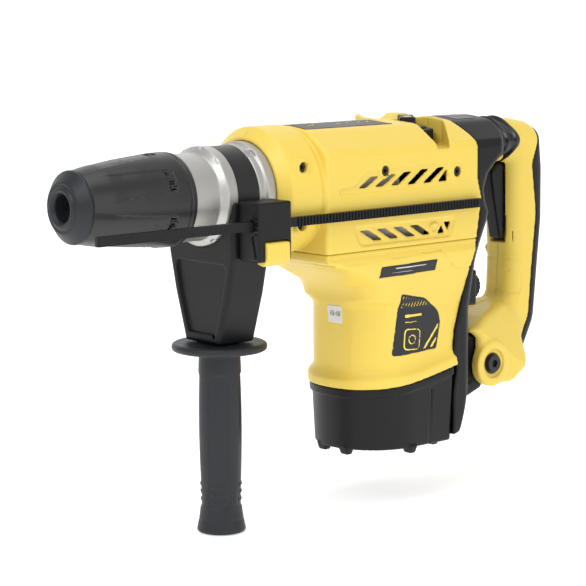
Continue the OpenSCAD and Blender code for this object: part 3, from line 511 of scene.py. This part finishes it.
def upper_covers():
    for side, sign in (("left", 1), ("right", -1)):
        def solid(x, y, z, sign=sign):
            return both(cover(x, y, z), 0.08 - sign * y, 0.35)
        lo, hi = node_box("upper_cover_" + side)
        hi[2] = max(hi[2], 51.5)
        piece("upper_cover_shell_" + side, "machine", solid, lo, hi, YELLOW,
              ["upper_cover_" + side])


# ---- Motor housing and its cap ----

def motor_plan(r):
    """Round-fronted plan about the motor axis, straight towards the rear."""
    def distance(x, y):
        return np.where(x > motor_x, np.hypot(x - motor_x, y), np.abs(y)) - r
    return distance


def rim_line(x):
    """Height of the line between the yellow motor housing and its black cap."""
    return -149.3 + 11.3 * (np.clip(-226 - x, 0, 90) / 85) ** 1.6


def motor_solid(d):
    side = shape((COLLAR_END - d, 0, 0), (COLLAR_END - d, -50.5, 3), (-206 - 1.2 * d, -60, 16),
                 (-226 - d, -76, 16), (-228.5 - d, -100, 12), (-228.5 - d, -220, 0), (-350, -220, 0),
                 (-350, 0, 0))
    section = mirrored((46 - d, 0, 0), (46 - d, seam_z - 3, 3), (47.9 - d, -52, 2.5),
                       (47.6 - d, -57, 6), (45.4 - d, -72, 10), (43.5 - d, -92, 12), (43.5 - d, -220, 0))

    def solid(x, y, z):
        nose = both(side(x, z), section(y, z), np.clip((-50 - z) * 1.2, 2, 26) - min(d, 1.5))
        barrel = both(motor_plan(44.5 - d)(x, y), slab(z, -220, -60), 0)
        body = both(nose, either(barrel, -84 - z, 8), 2)
        foot = rim_line(x) - (10 if d else 0)
        rim = both(motor_plan(48 - d)(x, y), np.maximum(foot - z, z - rim_line(x) - 7 + d), 1.2)
        return either(both(body, foot - z, 0), rim, 8)
    return solid


def motor_housing():
    outer, inner = motor_solid(0), motor_solid(WALL)

    def solid(x, y, z):
        shell = less(outer(x, y, z), inner(x, y, z), 0)
        # style line along the side
        ay = np.abs(y)
        line = stroke(x, z, (-188, -52), (-206, -52.5), 0.45)
        for p, q in (((-206, -52.5), (-296, -50)), ((-296, -50), (-311, -64.5)),
                     ((-311, -64.5), (-340, -66))):
            line = np.minimum(line, stroke(x, z, p, q, 0.45))
        depth = outer(x, y, z) + 0.8
        shell = less(shell, both(both(line, -depth, 0), 20 - ay, 0), 0.25)
        shell = both(shell, ahead_of_seam(x, z) + 0.15, 0.4)
        shell = both(shell, z - seam_z + 0.15, 0.4)
        return both(shell, rim_line(x) + 0.1 - z, 0.3)
    lo, hi = node_box("motor_housing")
    lo[2] = rim_line(motor_x + 60) - 2
    piece("motor_housing_shell", "machine", solid, lo, hi, YELLOW, ["motor_housing"])


def motor_end_cap():
    feet = [(-232, 12), (-232, -12), (-270, 40), (-270, -40), (-303, 30), (-303, -30)]

    def form(d):
        def solid(x, y, z):
            plan = motor_plan(0)(x, y)
            belt = both(plan - 47.5 + d, rim_line(x) - 6.5 - z, 0.8)
            taper = plan - 45.5 + d + (-155 - z) * 0.05
            body = both(both(np.minimum(belt, taper), -311 + d - x, 4), z - rim_line(x) - 3 * d, 0)
            return both(body, cap_z + d - z, 2.0)
        return solid
    outer, inner = form(0), form(WALL)

    def solid(x, y, z):
        angle = np.arctan2(y, x - motor_x)
        rho = np.hypot(x - motor_x, y)
        body = outer(x, y, z)
        edge = both(np.abs(np.abs(angle) - 1.95) * rho - 0.5, slab(z, cap_z - 5, rim_z - 12), 0)
        edge = both(edge, 43 - rho, 0)
        body = less(body, edge, 0.4)
        shell = less(body, inner(x, y, z), 0)
        for at in (45, 135, 225, 315):
            cx = motor_x + 38 * math.cos(math.radians(at))
            cy = 38 * math.sin(math.radians(at))
            shell = np.minimum(shell, both(rod(x, y, cx, cy, 4.6), slab(z, cap_z + 2, -150), 0))
            shell = less(shell, both(rod(x, y, cx, cy, 4.1), z - cap_z - 2, 0), 0.3)
            shell = less(shell, both(rod(x, y, cx, cy, 2.0), slab(z, -220, -120), 0), 0)
        for fx, fy in feet:
            splay = (z - cap_z + 4) * 0.25
            foot = both(np.abs(x - fx) - 2.6 - splay, np.abs(y - fy) - 3.6 - splay, 1)
            foot = both(foot, slab(z, cap_z - 4, cap_z + 2), 0.8)
            shell = np.minimum(shell, foot)
        bearing_seat = both(np.abs(rho - 12.6) - 1.5, slab(z, cap_z + 2, -177), 0)
        return np.minimum(shell, bearing_seat)
    lo, hi = node_box("motor_end_cap")
    hi[2] = rim_line(-316.0) + 2
    piece("motor_end_cap_shell", "machine", solid, lo, hi, BLACK, ["motor_end_cap"])


# ---- Rear housing ----

def rear_corner(z):
    """How far the rounded rear corners reach, along the diagonal of the plan."""
    return np.interp(z, (-130, -97, -61, -48, -33, -26, -16, -8, 3, 10, 18),
                     (372, 372, 379, 384, 391, 393, 389, 388, 392, 399, 409))


def rear_solid(d):
    side = outline(rounded([
        (-290, 60, 0), (-371 + d, 60, 0), (-371 + d, 8, 4), (-356 + d, -5, 8), (-353.5 + d, -22, 8),
        (-352 + d, -58, 8), (-351 + d, -112, 6), (-354 + d, -120, 4), (-330 + d, -160 + d, 6),
        (-318 + d, -190 + d, 4), (-311, -192 + d, 0), (-290, -193 + d, 0)]))
    section = mirrored((46 - d, -260, 0), (46 - d, 24, 1.2), (43.5 - d, 29, 2), (24, 42.3 - d, 18),
                       (0, 45.3 - d, 60))

    def solid(x, y, z):
        corner = (np.abs(y) * 1.02 - x - rear_corner(z)) / 1.43 + d
        return both(both(side(x, z), corner, 5), section(y, z), 2.5)
    return solid


def rear_housing():
    outer, inner = rear_solid(0), rear_solid(WALL)
    arm = shape((-344, -121, 0), (-355, -124, 5), (-372, -132, 3), (-365, -145, 0), (-360, -164, 3),
                (-340, -171, 8), (-331, -168, 0), (-344, -150, 0))
    pad = shape((-340, -122, 3), (-356, -126, 4), (-350, -158, 5), (-338, -160, 3))
    dial_y = 20.0

    def solid(x, y, z):
        ay = np.abs(y)
        shell = less(outer(x, y, z), inner(x, y, z), 0)
        shell = less(shell, ahead_of_seam(x, z) - 0.1, 0.3)
        shell = less(shell, both(slab(x, -311.2, -200), z - rim_line(x) - 0.1, 0), 0.3)
        limb = both(arm(x, z), ay - 27, 2.5)
        limb = either(limb, both(rod(x, z, *pivot, 16.4), ay - 27, 2), 2)
        limb = less(limb, both(pad(x, z), 26.2 - ay, 0), 0.5)
        limb = less(limb, inner(x, y, z), 0)
        body = either(shell, limb, 2.5)
        body = less(body, both(rod(x, z, *pivot, 8.05), ay - 40, 0), 0.4)
        body = less(body, both(rod(x, y, knob_x, 0, 24), slab(z, 20, 60), 0), 0)
        block = both(slab(x, -354.5, -342), slab(y, dial_y - 8, dial_y + 6.5), 1.5)
        block = less(both(block, slab(z, -99, -72), 1.5), inner(x, y, z), 0)
        body = either(body, block, 1.0)
        window = both(slab(y, dial_y - 4.6, dial_y + 4.6), slab(z, -97, -73), 0.8)
        body = less(body, both(window, slab(x, -368, -338), 0), 0.6)
        light = both(rod(y, z, 24, -108, 2.0), x + 336, 0)
        return less(body, both(light, slab(x, -366, -345.5), 0), 0.3)
    lo, hi = node_box("rear_housing")
    piece("rear_housing_shell", "machine", solid, lo, hi, BLACK, ["rear_housing"])


def bellows():
    length = (-405.0, -366.0)
    centre, wide, high = 24.0, 25.2, 16.6

    def solid(x, y, z):
        turn = np.arctan2((z - centre) / high, y / wide)
        radius = wide * high / np.hypot(high * np.cos(turn), wide * np.sin(turn))
        along = (x + 379.5) / 9.6
        fold = 1.5 * np.cos(2 * math.pi * along) + 0.5 * np.cos(4 * math.pi * along)
        neck = np.maximum(0, x + 372) * 0.3
        rho = np.hypot(y, z - centre)
        outside = rho - radius + neck - fold
        cuff = np.where(x < -388.2, 6.0, 2.6)
        inside = np.maximum(rho - radius + neck + cuff, -404.9 - x)
        shell = less(outside * 0.8, inside, 0)
        return both(shell, slab(x, *length), 1.6)
    made = piece("bellows_rubber", None, solid, (length[0], -28, -3), (length[1], 28, 45), GLOSSY,
                 ["bellows"], FINE)
    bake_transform(made)


# ---- D-handle ----

handle_side = rounded([(-388.6, 7.5, 3), (-388.6, 38, 4), (-408, 40.5, 20), (-428, 37, 14), (-441, 29, 12),
                       (-444, 0, 40), (-444, -40, 60), (-436, -120, 30), (-422, -147, 24),
                       (-396, -166, 14), (-374, -160, 0), (-371, -124, 4), (-388, -116, 16),
                       (-404, -98, 20), (-405.5, -64, 20), (-404.5, -54, 6), (-403.5, 6.5, 3)])
grip_edge = rounded([(-434, 60, 0), (-434, 22, 6), (-427, 4, 14), (-432, -34, 60), (-427, -80, 40),
                     (-424, -116, 24), (-412, -138, 20), (-402, -154, 0), (-402, -200, 0),
                     (-480, -200, 0), (-480, 60, 0)])
in_handle, in_grip = outline(handle_side), outline(grip_edge)
HANDLE_HOLES = [(-410, 33), (-411, -63), (-402, -138)]


def handle_cavity(x, y, z):
    ay = np.abs(y)
    switch_room = both(shape((-409, 3, 0), (-409, -56, 0), (-424, -58, 4), (-424, 10, 4),
                             (-409, 12, 3))(x, z), ay - 12, 0)
    mouth = both(shape((-380, 5.6, 0), (-380, -56, 0), (-412, -57, 0), (-412, 6.4, 0))(x, z), ay - 7.5, 0)
    duct = both(shape((-378, 11, 0), (-378, 32, 0), (-415, 30, 4), (-415, 11, 4))(x, z), ay - 12, 0)
    lower = both(shape((-410, -68, 2), (-424, -68, 4), (-418, -126, 4), (-410, -126, 2))(x, z), ay - 10, 0)
    return np.minimum(np.minimum(switch_room, mouth), np.minimum(duct, lower))


def handle_form(x, y, z):
    """The D-handle with its two ears, before it is split."""
    ay = np.abs(y)
    loop = both(in_handle(x, z), ay - 16, np.where(y > 0, 12.5, 8.0))
    ear = both(rod(x, z, *pivot, 17.5), slab(ay, 27.6, 35.5), 1.2)
    spread = 16 + 17.4 * np.clip(((-96 - z) * 0.6 + (x + 400) * 0.4 - 4) / 28, 0, 1)
    cheek = both(shape((-342.5, -117, 0.6), (-362, -109, 24), (-396, -101, 10), (-410, -120, 12),
                       (-410, -150, 14), (-390, -163, 12), (-366, -162, 4), (-352, -140, 4),
                       (-352, -124, 6))(x, z), (ay - spread) * 0.91, 5)
    body = either(loop, either(cheek, ear, 3), 9)
    arm_room = shape((-330, -118, 0), (-352, -120.5, 4), (-374, -128, 3), (-384, -146, 12),
                     (-374, -168, 8), (-330, -178, 0))(x, z)
    body = less(body, both(np.minimum(rod(x, z, *pivot, 17.4), arm_room), ay - 27.6, 0), 0)
    for hx, hz in HANDLE_HOLES:
        body = either(body, both(rod(x, z, hx, hz, 4.6), slab(y, -15.6, -6), 0.8), 0.8)
    return body


def handle_shells():
    panel = shape((-380, -68, 0), (-413, -70, 3), (-417, -75, 3), (-414, -97, 3), (-380, -95, 0))

    def shell(x, y, z):
        ay = np.abs(y)
        form = handle_form(x, y, z)
        body = less(form, in_grip(x, z) + 0 * y, 0.5)
        rim = np.abs(panel(x, z)) - 0.4
        rim = np.minimum(rim, both(np.abs(z + 82 + (x + 380) * 0.12) - 0.4, slab(x, -408, -380), 0))
        body = less(body, both(both(rim, -form - 0.7, 0), 5 - ay, 0), 0.25)
        body = less(body, handle_cavity(x, y, z), 0.3)
        body = less(body, both(rod(x, z, *pivot, 11), slab(ay, 33.4, 50), 0), 0.4)
        body = less(body, both(rod(x, z, *pivot, 8.02), slab(ay, 20, 50), 0), 0)
        for hx, hz in HANDLE_HOLES:
            body = less(body, both(rod(x, z, hx, hz, 3.7), 13.4 + y, 0), 0.3)
            body = less(body, both(rod(x, z, hx, hz, 1.9), y - 4, 0), 0)
        gland = both(rod(x, y, -412, 0, 7.05), slab(z, -175, -146), 0)
        body = less(body, np.minimum(gland, both(rod(x, y, -412, 0, 5), slab(z, -150, -125), 0)), 0)
        return body
    for side, sign in (("left", 1), ("right", -1)):
        def solid(x, y, z, sign=sign):
            return both(shell(x, y, z), 0.06 - sign * y, 0.3)
        lo, hi = node_box("handle_shell_" + side)
        hi[0] = -340.0
        piece("handle_cover_" + side, "handle", solid, lo, hi, YELLOW,
              ["handle_shell_" + side])


def handle_grip():
    def solid(x, y, z):
        loop = both(in_handle(x, z) - 0.25, np.abs(y) - 16.25, np.where(y > 0, 12.5, 8.0))
        body = both(loop, in_grip(x, z) + 0.25, 0.8)
        # fine cross ribs on the back
        rib = np.abs((z / 7.5) - np.round(z / 7.5)) * 7.5 - 0.6
        rib = both(both(rib, slab(z, -108, 6), 0), in_handle(x, z) * -1 - 1.2, 0)
        body = less(body, both(rib, np.abs(y) - 10, 0), 0.4)
        return less(body, both(rod(x, y, -412, 0, 7.05), slab(z, -175, -146), 0), 0)
    lo, hi = node_box("handle_grip", 1.5)
    piece("handle_soft_strip", "handle", solid, lo, hi, SOFT, ["handle_grip"])


TRIGGER_PIN = (-398.0, -3.0)


def trigger():
    side = shape((-391, -1.0, 2), (-394.5, -22, 30), (-401.5, -53.5, 1), (-405.5, -54, 0.5),
                 (-405.5, 5.6, 1), (-398, 5.4, 2))

    def solid(x, y, z):
        paddle = both(side(x, z), np.abs(y) - 7, 2.8)
        return less(paddle, both(rod(x, z, *TRIGGER_PIN, 1.6), np.abs(y) - 5, 0), 0.2)
    lo, hi = node_box("trigger")
    lo[0], lo[2], hi[2] = -412.0, -56.0, 6.0
    piece("trigger_paddle", "trigger", solid, lo, hi, BLACK, ["trigger"], FINE)


# ---- Selector ----

def selector_knob():
    rest = math.radians(49)

    def solid(x, y, z):
        x, y = x - knob_x, y + 0 * x
        x, y = x * math.cos(rest) + y * math.sin(rest), y * math.cos(rest) - x * math.sin(rest)
        rho = np.hypot(x, y)
        angle = np.arctan2(y, x)
        disc = both(rho - 19.9 + 0.35 * np.cos(angle * 36), slab(z, 24.3, 37), 1.4)
        disc = either(disc, both(rho - 15, slab(z, 30, 39), 0.8), 0.8)
        disc = np.minimum(disc, both(rho - 5.8, slab(z, 16.1, 26), 0))
        lever = both(both(slab(x, -16, 19.8), np.abs(y) - 6, 2.0), slab(z, 35, 46.6), 1.2)
        waist = np.minimum(rod(x, y, -1, 13.5, 9.5), rod(x, y, -1, -13.5, 9.5))
        lever = less(lever, both(waist, 39.5 - z, 0), 1.0)
        body = either(disc, lever, 1.2)
        return less(body, both(rod(x, y, 13, 0, 3.25), slab(z, 40.2, 60), 0), 0.4)
    lo, hi = node_box("selector_knob")
    piece("selector_knob_moulding", "knob", solid, lo, hi, BLACK, ["selector_knob"], FINE)


# ---- Side handle ----

def handle_bracket():
    section = mirrored((36, -2, 2), (36, -40, 10), (29.5, -68, 30), (18.5, -103, 2))
    panel = mirrored((28, -46, 4), (23, -70, 20), (14.5, -96, 3))
    x_rear, x_front = -139.0, -106.0

    def solid(x, y, z):
        body = both(section(y, z), slab(x, x_rear, x_front), 3)
        body = less(body, both(panel(y, z), x_front - 2.0 - x, 0), 0.8)
        body = less(body, both(panel(y, z), x - x_rear - 2.0, 0), 0.8)
        body = less(body, both(rod(y, z, 0, 0, 34.2), slab(x, -160, -90), 0), 0.5)
        ends = np.minimum(slab(x, -150, -131.6), slab(x, -112.7, -90))
        body = less(body, both(rod(y, z, 0, 0, 35), ends, 0), 0.4)
        body = less(body, both(rod(y, z, 0, 0, 37), slab(x, -150, -136.5), 0), 0.4)
        body = less(body, both(rod(y, z, 13.5, -97.5, 1.6), -110 - x, 0), 0.3)
        body = less(body, both(rod(x, y, side_x, 0, 5.1), slab(z, -120, -52), 0), 0)
        return less(body, both(rod(x, y, side_x, 0, 9), slab(z, -66, -30), 0), 0)
    lo, hi = node_box("handle_bracket")
    piece("handle_bracket_moulding", "side_handle", solid, lo, hi, BLACK,
          ["handle_bracket"], FINE)


def stop_block():
    lo_x, hi_x = -140.5, -111.0

    def solid(x, y, z):
        body = both(both(slab(x, lo_x, hi_x), slab(z, -42, -1.2), 1.6), slab(y, 36, 57.5), 1.4)
        hole = both(slab(y, 47, 52.3), slab(z, -20.7, -13.7), 1.2)
        body = less(body, hole + 0 * x, 0.4)
        pocket = both(both(slab(x, -137.3, -116.7), slab(y, 43, 70), 0), z + 27.6, 0)
        body = less(body, pocket, 0.3)
        body = less(body, both(rod(y, z, 0, 0, 36.7), slab(x, -150, -136.5), 0), 0.2)
        for i in range(5):
            groove = both(np.abs(z + 9.5 + 3.2 * i) - 0.5, hi_x - 0.7 - x, 0)
            body = less(body, both(groove, slab(y, 52.6, 55.8), 0), 0.2)
        front = both(stroke(y, z, (50.5, -24.5), (54, -38), 0.9), hi_x - 1.6 - x, 0)
        return less(body, front, 0.3)
    lo, hi = node_box("stop_block")
    piece("stop_block_moulding", "side_handle", solid, lo, hi, BLACK, ["stop_block"], FINE)


def depth_latch():
    section = shape((60, -29, 1.5), (60.5, -42, 4), (54, -45.5, 3), (48, -44, 1), (48, -28, 1))

    def solid(x, y, z):
        body = both(section(y, z), slab(x, -137, -117), 1.0)
        for i in range(5):
            body = less(body, both(rod(x, y, -133 + 3 * i, 60.8, 0.8), slab(z, -41, -31), 0), 0.3)
        return body
    lo, hi = node_box("depth_latch")
    piece("depth_latch_moulding", "latch", solid, lo, hi, YELLOW, ["depth_latch"], FINE)


def side_grip():
    top = -104.0
    length = top - 6 - grip_end

    def solid(x, y, z):
        rho = np.hypot(x - side_x, y)
        angle = np.arctan2(y, x - side_x)
        t = np.clip((top - 6 - z) / length, 0, 1)
        radius = (14.6 + 1.3 * np.sin(np.pi * np.minimum(1, t * 1.25))
                  + 3.2 * np.maximum(0, (t - 0.84) / 0.16) ** 1.5)
        stem = both((rho - radius) * 0.95, slab(z, grip_end, top - 2), 2.2)
        flange = both(rho - 33.8, slab(z, top - 5.8, top), 2.6)
        body = either(stem, flange, 4)
        # sunk panels, four round the grip
        quarter = angle / (math.pi / 2) - 0.5
        across = (quarter - np.round(quarter)) * (math.pi / 2) * 15
        panel = mirrored((7.2, -126, 5), (6.4, -160, 30), (7.4, -196, 30), (8.6, -222, 4))
        sunk = both(panel(across, z), radius - 0.7 - rho, 0)
        body = less(body, sunk, 0.5)
        bump_z = np.round((z + 211) / 5.5)
        for k in (-1, 0, 1):
            dot = np.hypot(across - 4.4 * k, z + 211 - 5.5 * np.clip(bump_z, -1, 1)) - 1.0
            body = np.minimum(body, both(dot, rho - radius - 0.1, 0.3))
        line = both(np.abs(z - grip_end - 9) - 0.4, radius - 0.5 - rho, 0)
        body = less(body, line, 0.3)
        return less(body, both(rho - 5, slab(z, -135, top + 5), 0), 0)
    lo, hi = node_box("side_grip")
    piece("side_grip_moulding", "grip", solid, lo, hi, RUBBER, ["side_grip"])


# ---- Labels ----

def label(name, solid, lo, hi, paint):
    piece(name, "machine", solid, lo, hi, paint, step=FINE)


def skin(form, lift=0.3, depth=0.5):
    """Thin layer on the surface of a form given for an inset."""
    over, under = form(-lift), form(depth)
    return lambda *at: less(over(*at), under(*at), 0)


def top_nameplate():
    section, below = cover_section(-0.3), cover_section(0.5)
    area = (-275, -21, 38), (-185, 21, 46.5)

    def edge(x, y):
        return both(both(slab(x, -290, -186), np.abs(y) - 20.5, 2), 39.2 - np.hypot(x - knob_x, y), 1)

    def plate(x, y, z):
        layer = less(section(y, z), below(y, z), 0)
        return both(both(layer, 38 - z, 0), edge(x, y), 0.2)
    label("top_nameplate", plate, *area, LABEL_BLACK)

    over, level = cover_section(-0.55), cover_section(0)

    def marks(x, y, z):
        d = np.full(np.broadcast_shapes(x.shape, y.shape), 99.0)
        for i, row in enumerate((-252, -232)):
            d = np.minimum(d, np.abs(np.hypot(x - row, y - 7) - 5) - 0.6)
            d = np.minimum(d, slab(x, row - 1, row + 1) + np.maximum(0, np.abs(y + 7) - 6 + 2 * i))
        for i in range(4):
            d = np.minimum(d, both(np.abs(x + 200 + 3.4 * i) - 0.7, slab(y, -14 + i, 14 - 3 * i), 0))
        layer = less(over(y, z), level(y, z), 0)
        return both(both(layer, 38 - z, 0), d, 0)
    label("top_nameplate_marks", marks, *area, LABEL_YELLOW)


def rear_nameplate():
    layer = skin(rear_solid)

    def plate(x, y, z):
        area = both(slab(x, -360, -338), np.abs(y) - 19, 2)
        return both(both(layer(x, y, z), 38 - z, 0), area, 0.2)
    label("rear_nameplate", plate, (-361, -20, 40), (-337, 20, 48), LABEL_BLACK)


def side_labels():
    layer, marks_layer = skin(motor_solid), skin(motor_solid, 0.5, 0.2)
    strip = shape((-234.5, -57, 0.6), (-291, -56, 0.6), (-289.5, -64.5, 0.6), (-233, -65.5, 0.6))
    badge = shape((-257, -79, 2), (-281, -84, 12), (-296, -95, 12), (-298, -104, 6), (-294, -123.5, 2),
                  (-251, -125.5, 2))
    sticker = shape((-3.5, -88.5, 0.6), (12, -88, 0.6), (12, -101.5, 0.6), (-3.5, -102, 0.6))

    def on_side(outline_2d, form):
        return lambda x, y, z: both(both(form(x, y, z), 20 - y, 0), outline_2d(x, z), 0.2)

    def on_front(outline_2d, form):
        return lambda x, y, z: both(both(form(x, y, z), -245 - x, 0), outline_2d(y, z), 0.2)
    label("side_strip", on_side(strip, layer), (-292, 40, -67), (-232, 49, -55), LABEL_BLACK)
    label("side_badge", on_side(badge, layer), (-299, 38, -127), (-250, 47, -78), LABEL_BLACK)
    label("front_sticker", on_front(sticker, layer), (-242, -5, -103), (-222, 14, -87), LABEL_WHITE)

    def strip_marks(x, z):
        bar = slanted(z, x, (-58.8, -248), (-58.6, -280), 0.9)
        return np.minimum(bar, slanted(z, x, (-62.6, -244), (-62.2, -268), 0.4))

    def badge_marks(x, z):
        along = (x + 297) * 0.75 + (z + 124) * 0.66
        stripes = np.abs((along - 3) / 5 - np.round((along - 3) / 5)) * 5 - 1.2
        stripes = both(stripes, both(slab(along, 0, 16.4), badge(x, z) + 1.6, 0), 0)
        box = shape((-262, -106, 3), (-277, -107, 3), (-276, -122, 3), (-261, -121, 3))(x, z)
        ring = np.abs(box) - 0.7
        drop = np.abs(rod(x, z, -269, -114, 3.2)) - 0.7
        bars = both(slab(x, -279, -262), slab(z, -97.5, -95), 0.4)
        bars = np.minimum(bars, both(slab(x, -274, -262), slab(z, -101.5, -100.3), 0.2))
        comb = np.abs((x + z * 0.5) / 3 - np.round((x + z * 0.5) / 3)) * 3 - 0.5
        comb = both(comb, both(badge(x, z) + 1.6, -90 - z + 0 * x, 0), 0)
        return np.minimum(np.minimum(np.minimum(stripes, ring), np.minimum(drop, bars)), comb)
    label("side_strip_marks", on_side(strip_marks, marks_layer), (-284, 42, -66), (-240, 50, -56),
          LABEL_WHITE)
    label("side_badge_marks", on_side(badge_marks, marks_layer), (-299, 38, -127), (-250, 48, -78),
          LABEL_YELLOW)

    def sticker_marks(y, z):
        bars = np.abs(y / 1.7 - np.round(y / 1.7)) * 1.7 - 0.4
        return both(both(bars, slab(y, -1.8, 10.4), 0), slab(z, -97, -91), 0)
    label("front_sticker_marks", on_front(sticker_marks, marks_layer), (-242, -5, -103), (-222, 14, -87),
          LABEL_BLACK)


# ---- CAD pieces that stay ----

KEPT = {
    "alloy": (ALLOY, ["gear_case", "gear_case_lid", "piston"]),
    "steel": (STEEL, ["spindle_bearing", "tool_holder", "locking_rollers", "hammer_tube",
                      "bevel_ring_gear", "sleeve_spring", "gear_case_screws", "gearbox_bearings",
                      "crankshaft", "crank_gear", "connecting_rod", "piston_pin", "ram", "beat_piece",
                      "intermediate_gear", "bevel_pinion", "armature_shaft", "rotor_core",
                      "motor_bearings", "stator_core", "clamp_bolt"]),
    "black_oxide": (DARK_STEEL, ["cover_screws", "end_cap_screws", "handle_screws", "pivot_bolt",
                                 "clamp_band"]),
    "winding_copper": (COPPER, ["armature_windings", "field_coils", "commutator"]),
    "carbon": (CARBON, ["carbon_brushes"]),
    "brass": (BRASS, ["brush_holders"]),
    "dark_rubber": (RUBBER, ["piston_ring", "ram_ring", "cord_gland"]),
    "black_shell": (BLACK, ["cooling_fan", "speed_dial", "depth_rod", "switch_body"]),
    "yellow_shell": (LABEL_YELLOW, ["selector_button"]),
}


def paint_kept_nodes():
    for paint, names in KEPT.values():
        for name in names:
            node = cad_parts[name]
            node.data.materials.clear()
            node.data.materials.append(paint)


# ---- Studio ----

def studio():
    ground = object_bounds()[0][2]
    mesh = bpy.data.meshes.new("backdrop")
    back, bend, steps = 4.0, 1.6, 24
    run = [(-3.0, 0.0), (back - bend, 0.0)]
    run += [(back - bend + bend * math.sin(a), bend - bend * math.cos(a))
            for a in (math.pi / 2 * k / steps for k in range(1, steps + 1))]
    run.append((back, 5.0))
    points = [(w, d, h) for d, h in run for w in (-6.0, 6.0)]
    faces = [(2 * i, 2 * i + 1, 2 * i + 3, 2 * i + 2) for i in range(len(run) - 1)]
    mesh.from_pydata(points, [], faces)
    mesh.shade_smooth()
    floor = bpy.data.objects.new("backdrop", mesh)
    bpy.context.scene.collection.objects.link(floor)
    away = (Vector(AIM) - Vector(CAMERA)).xy.normalized()
    floor.matrix_world = (Matrix.Translation((AIM[0], AIM[1], ground - 0.0005))
                          @ Matrix.Rotation(math.atan2(away.y, away.x) - math.pi / 2, 4, "Z"))
    mesh.materials.append(look("backdrop_paper", (0.93, 0.93, 0.93), 0.9, grain=80, bump=0.01, wear=0.004,
                                    glow=0.45))
    floor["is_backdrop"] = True

    world = bpy.data.worlds.new("studio")
    world.use_nodes = True
    world.node_tree.nodes["Background"].inputs["Color"].default_value = (1, 1, 1, 1)
    world.node_tree.nodes["Background"].inputs["Strength"].default_value = 0.55
    bpy.context.scene.world = world
    for name, spot, size, power in (("key", (1.5, 0.6, 1.5), 1.2, 20), ("fill", (-0.3, 2.2, 0.7), 1.6, 9),
                                    ("top", (-0.2, 0.2, 2.2), 1.6, 14)):
        lamp = bpy.data.lights.new(name, "AREA")
        lamp.size = size
        lamp.energy = power
        held = bpy.data.objects.new(name, lamp)
        bpy.context.scene.collection.objects.link(held)
        held.location = spot
        held.rotation_euler = (Vector(AIM) - Vector(spot)).to_track_quat("-Z", "Y").to_euler()


AIM = (-0.1912, 0.0, -0.0763)
CAMERA = (0.8076, 1.1475, 0.1468)
LENS = 130.59
ROLL = math.radians(-0.38)


def camera():
    data = bpy.data.cameras.new("camera")
    data.lens = LENS
    data.sensor_width = 36
    data.clip_start = 0.05
    held = bpy.data.objects.new("camera", data)
    bpy.context.scene.collection.objects.link(held)
    look_at = (Vector(AIM) - Vector(CAMERA)).to_track_quat("-Z", "Y").to_matrix().to_4x4()
    held.matrix_world = Matrix.Translation(CAMERA) @ look_at @ Matrix.Rotation(ROLL, 4, "Z")
    bpy.context.scene.camera = held


dust_cap()
lock_sleeve()
neck()
upper_covers()
motor_housing()
motor_end_cap()
rear_housing()
bellows()
handle_shells()
handle_grip()
trigger()
selector_knob()
handle_bracket()
stop_block()
depth_latch()
side_grip()
top_nameplate()
rear_nameplate()
side_labels()
paint_kept_nodes()
studio()
camera()
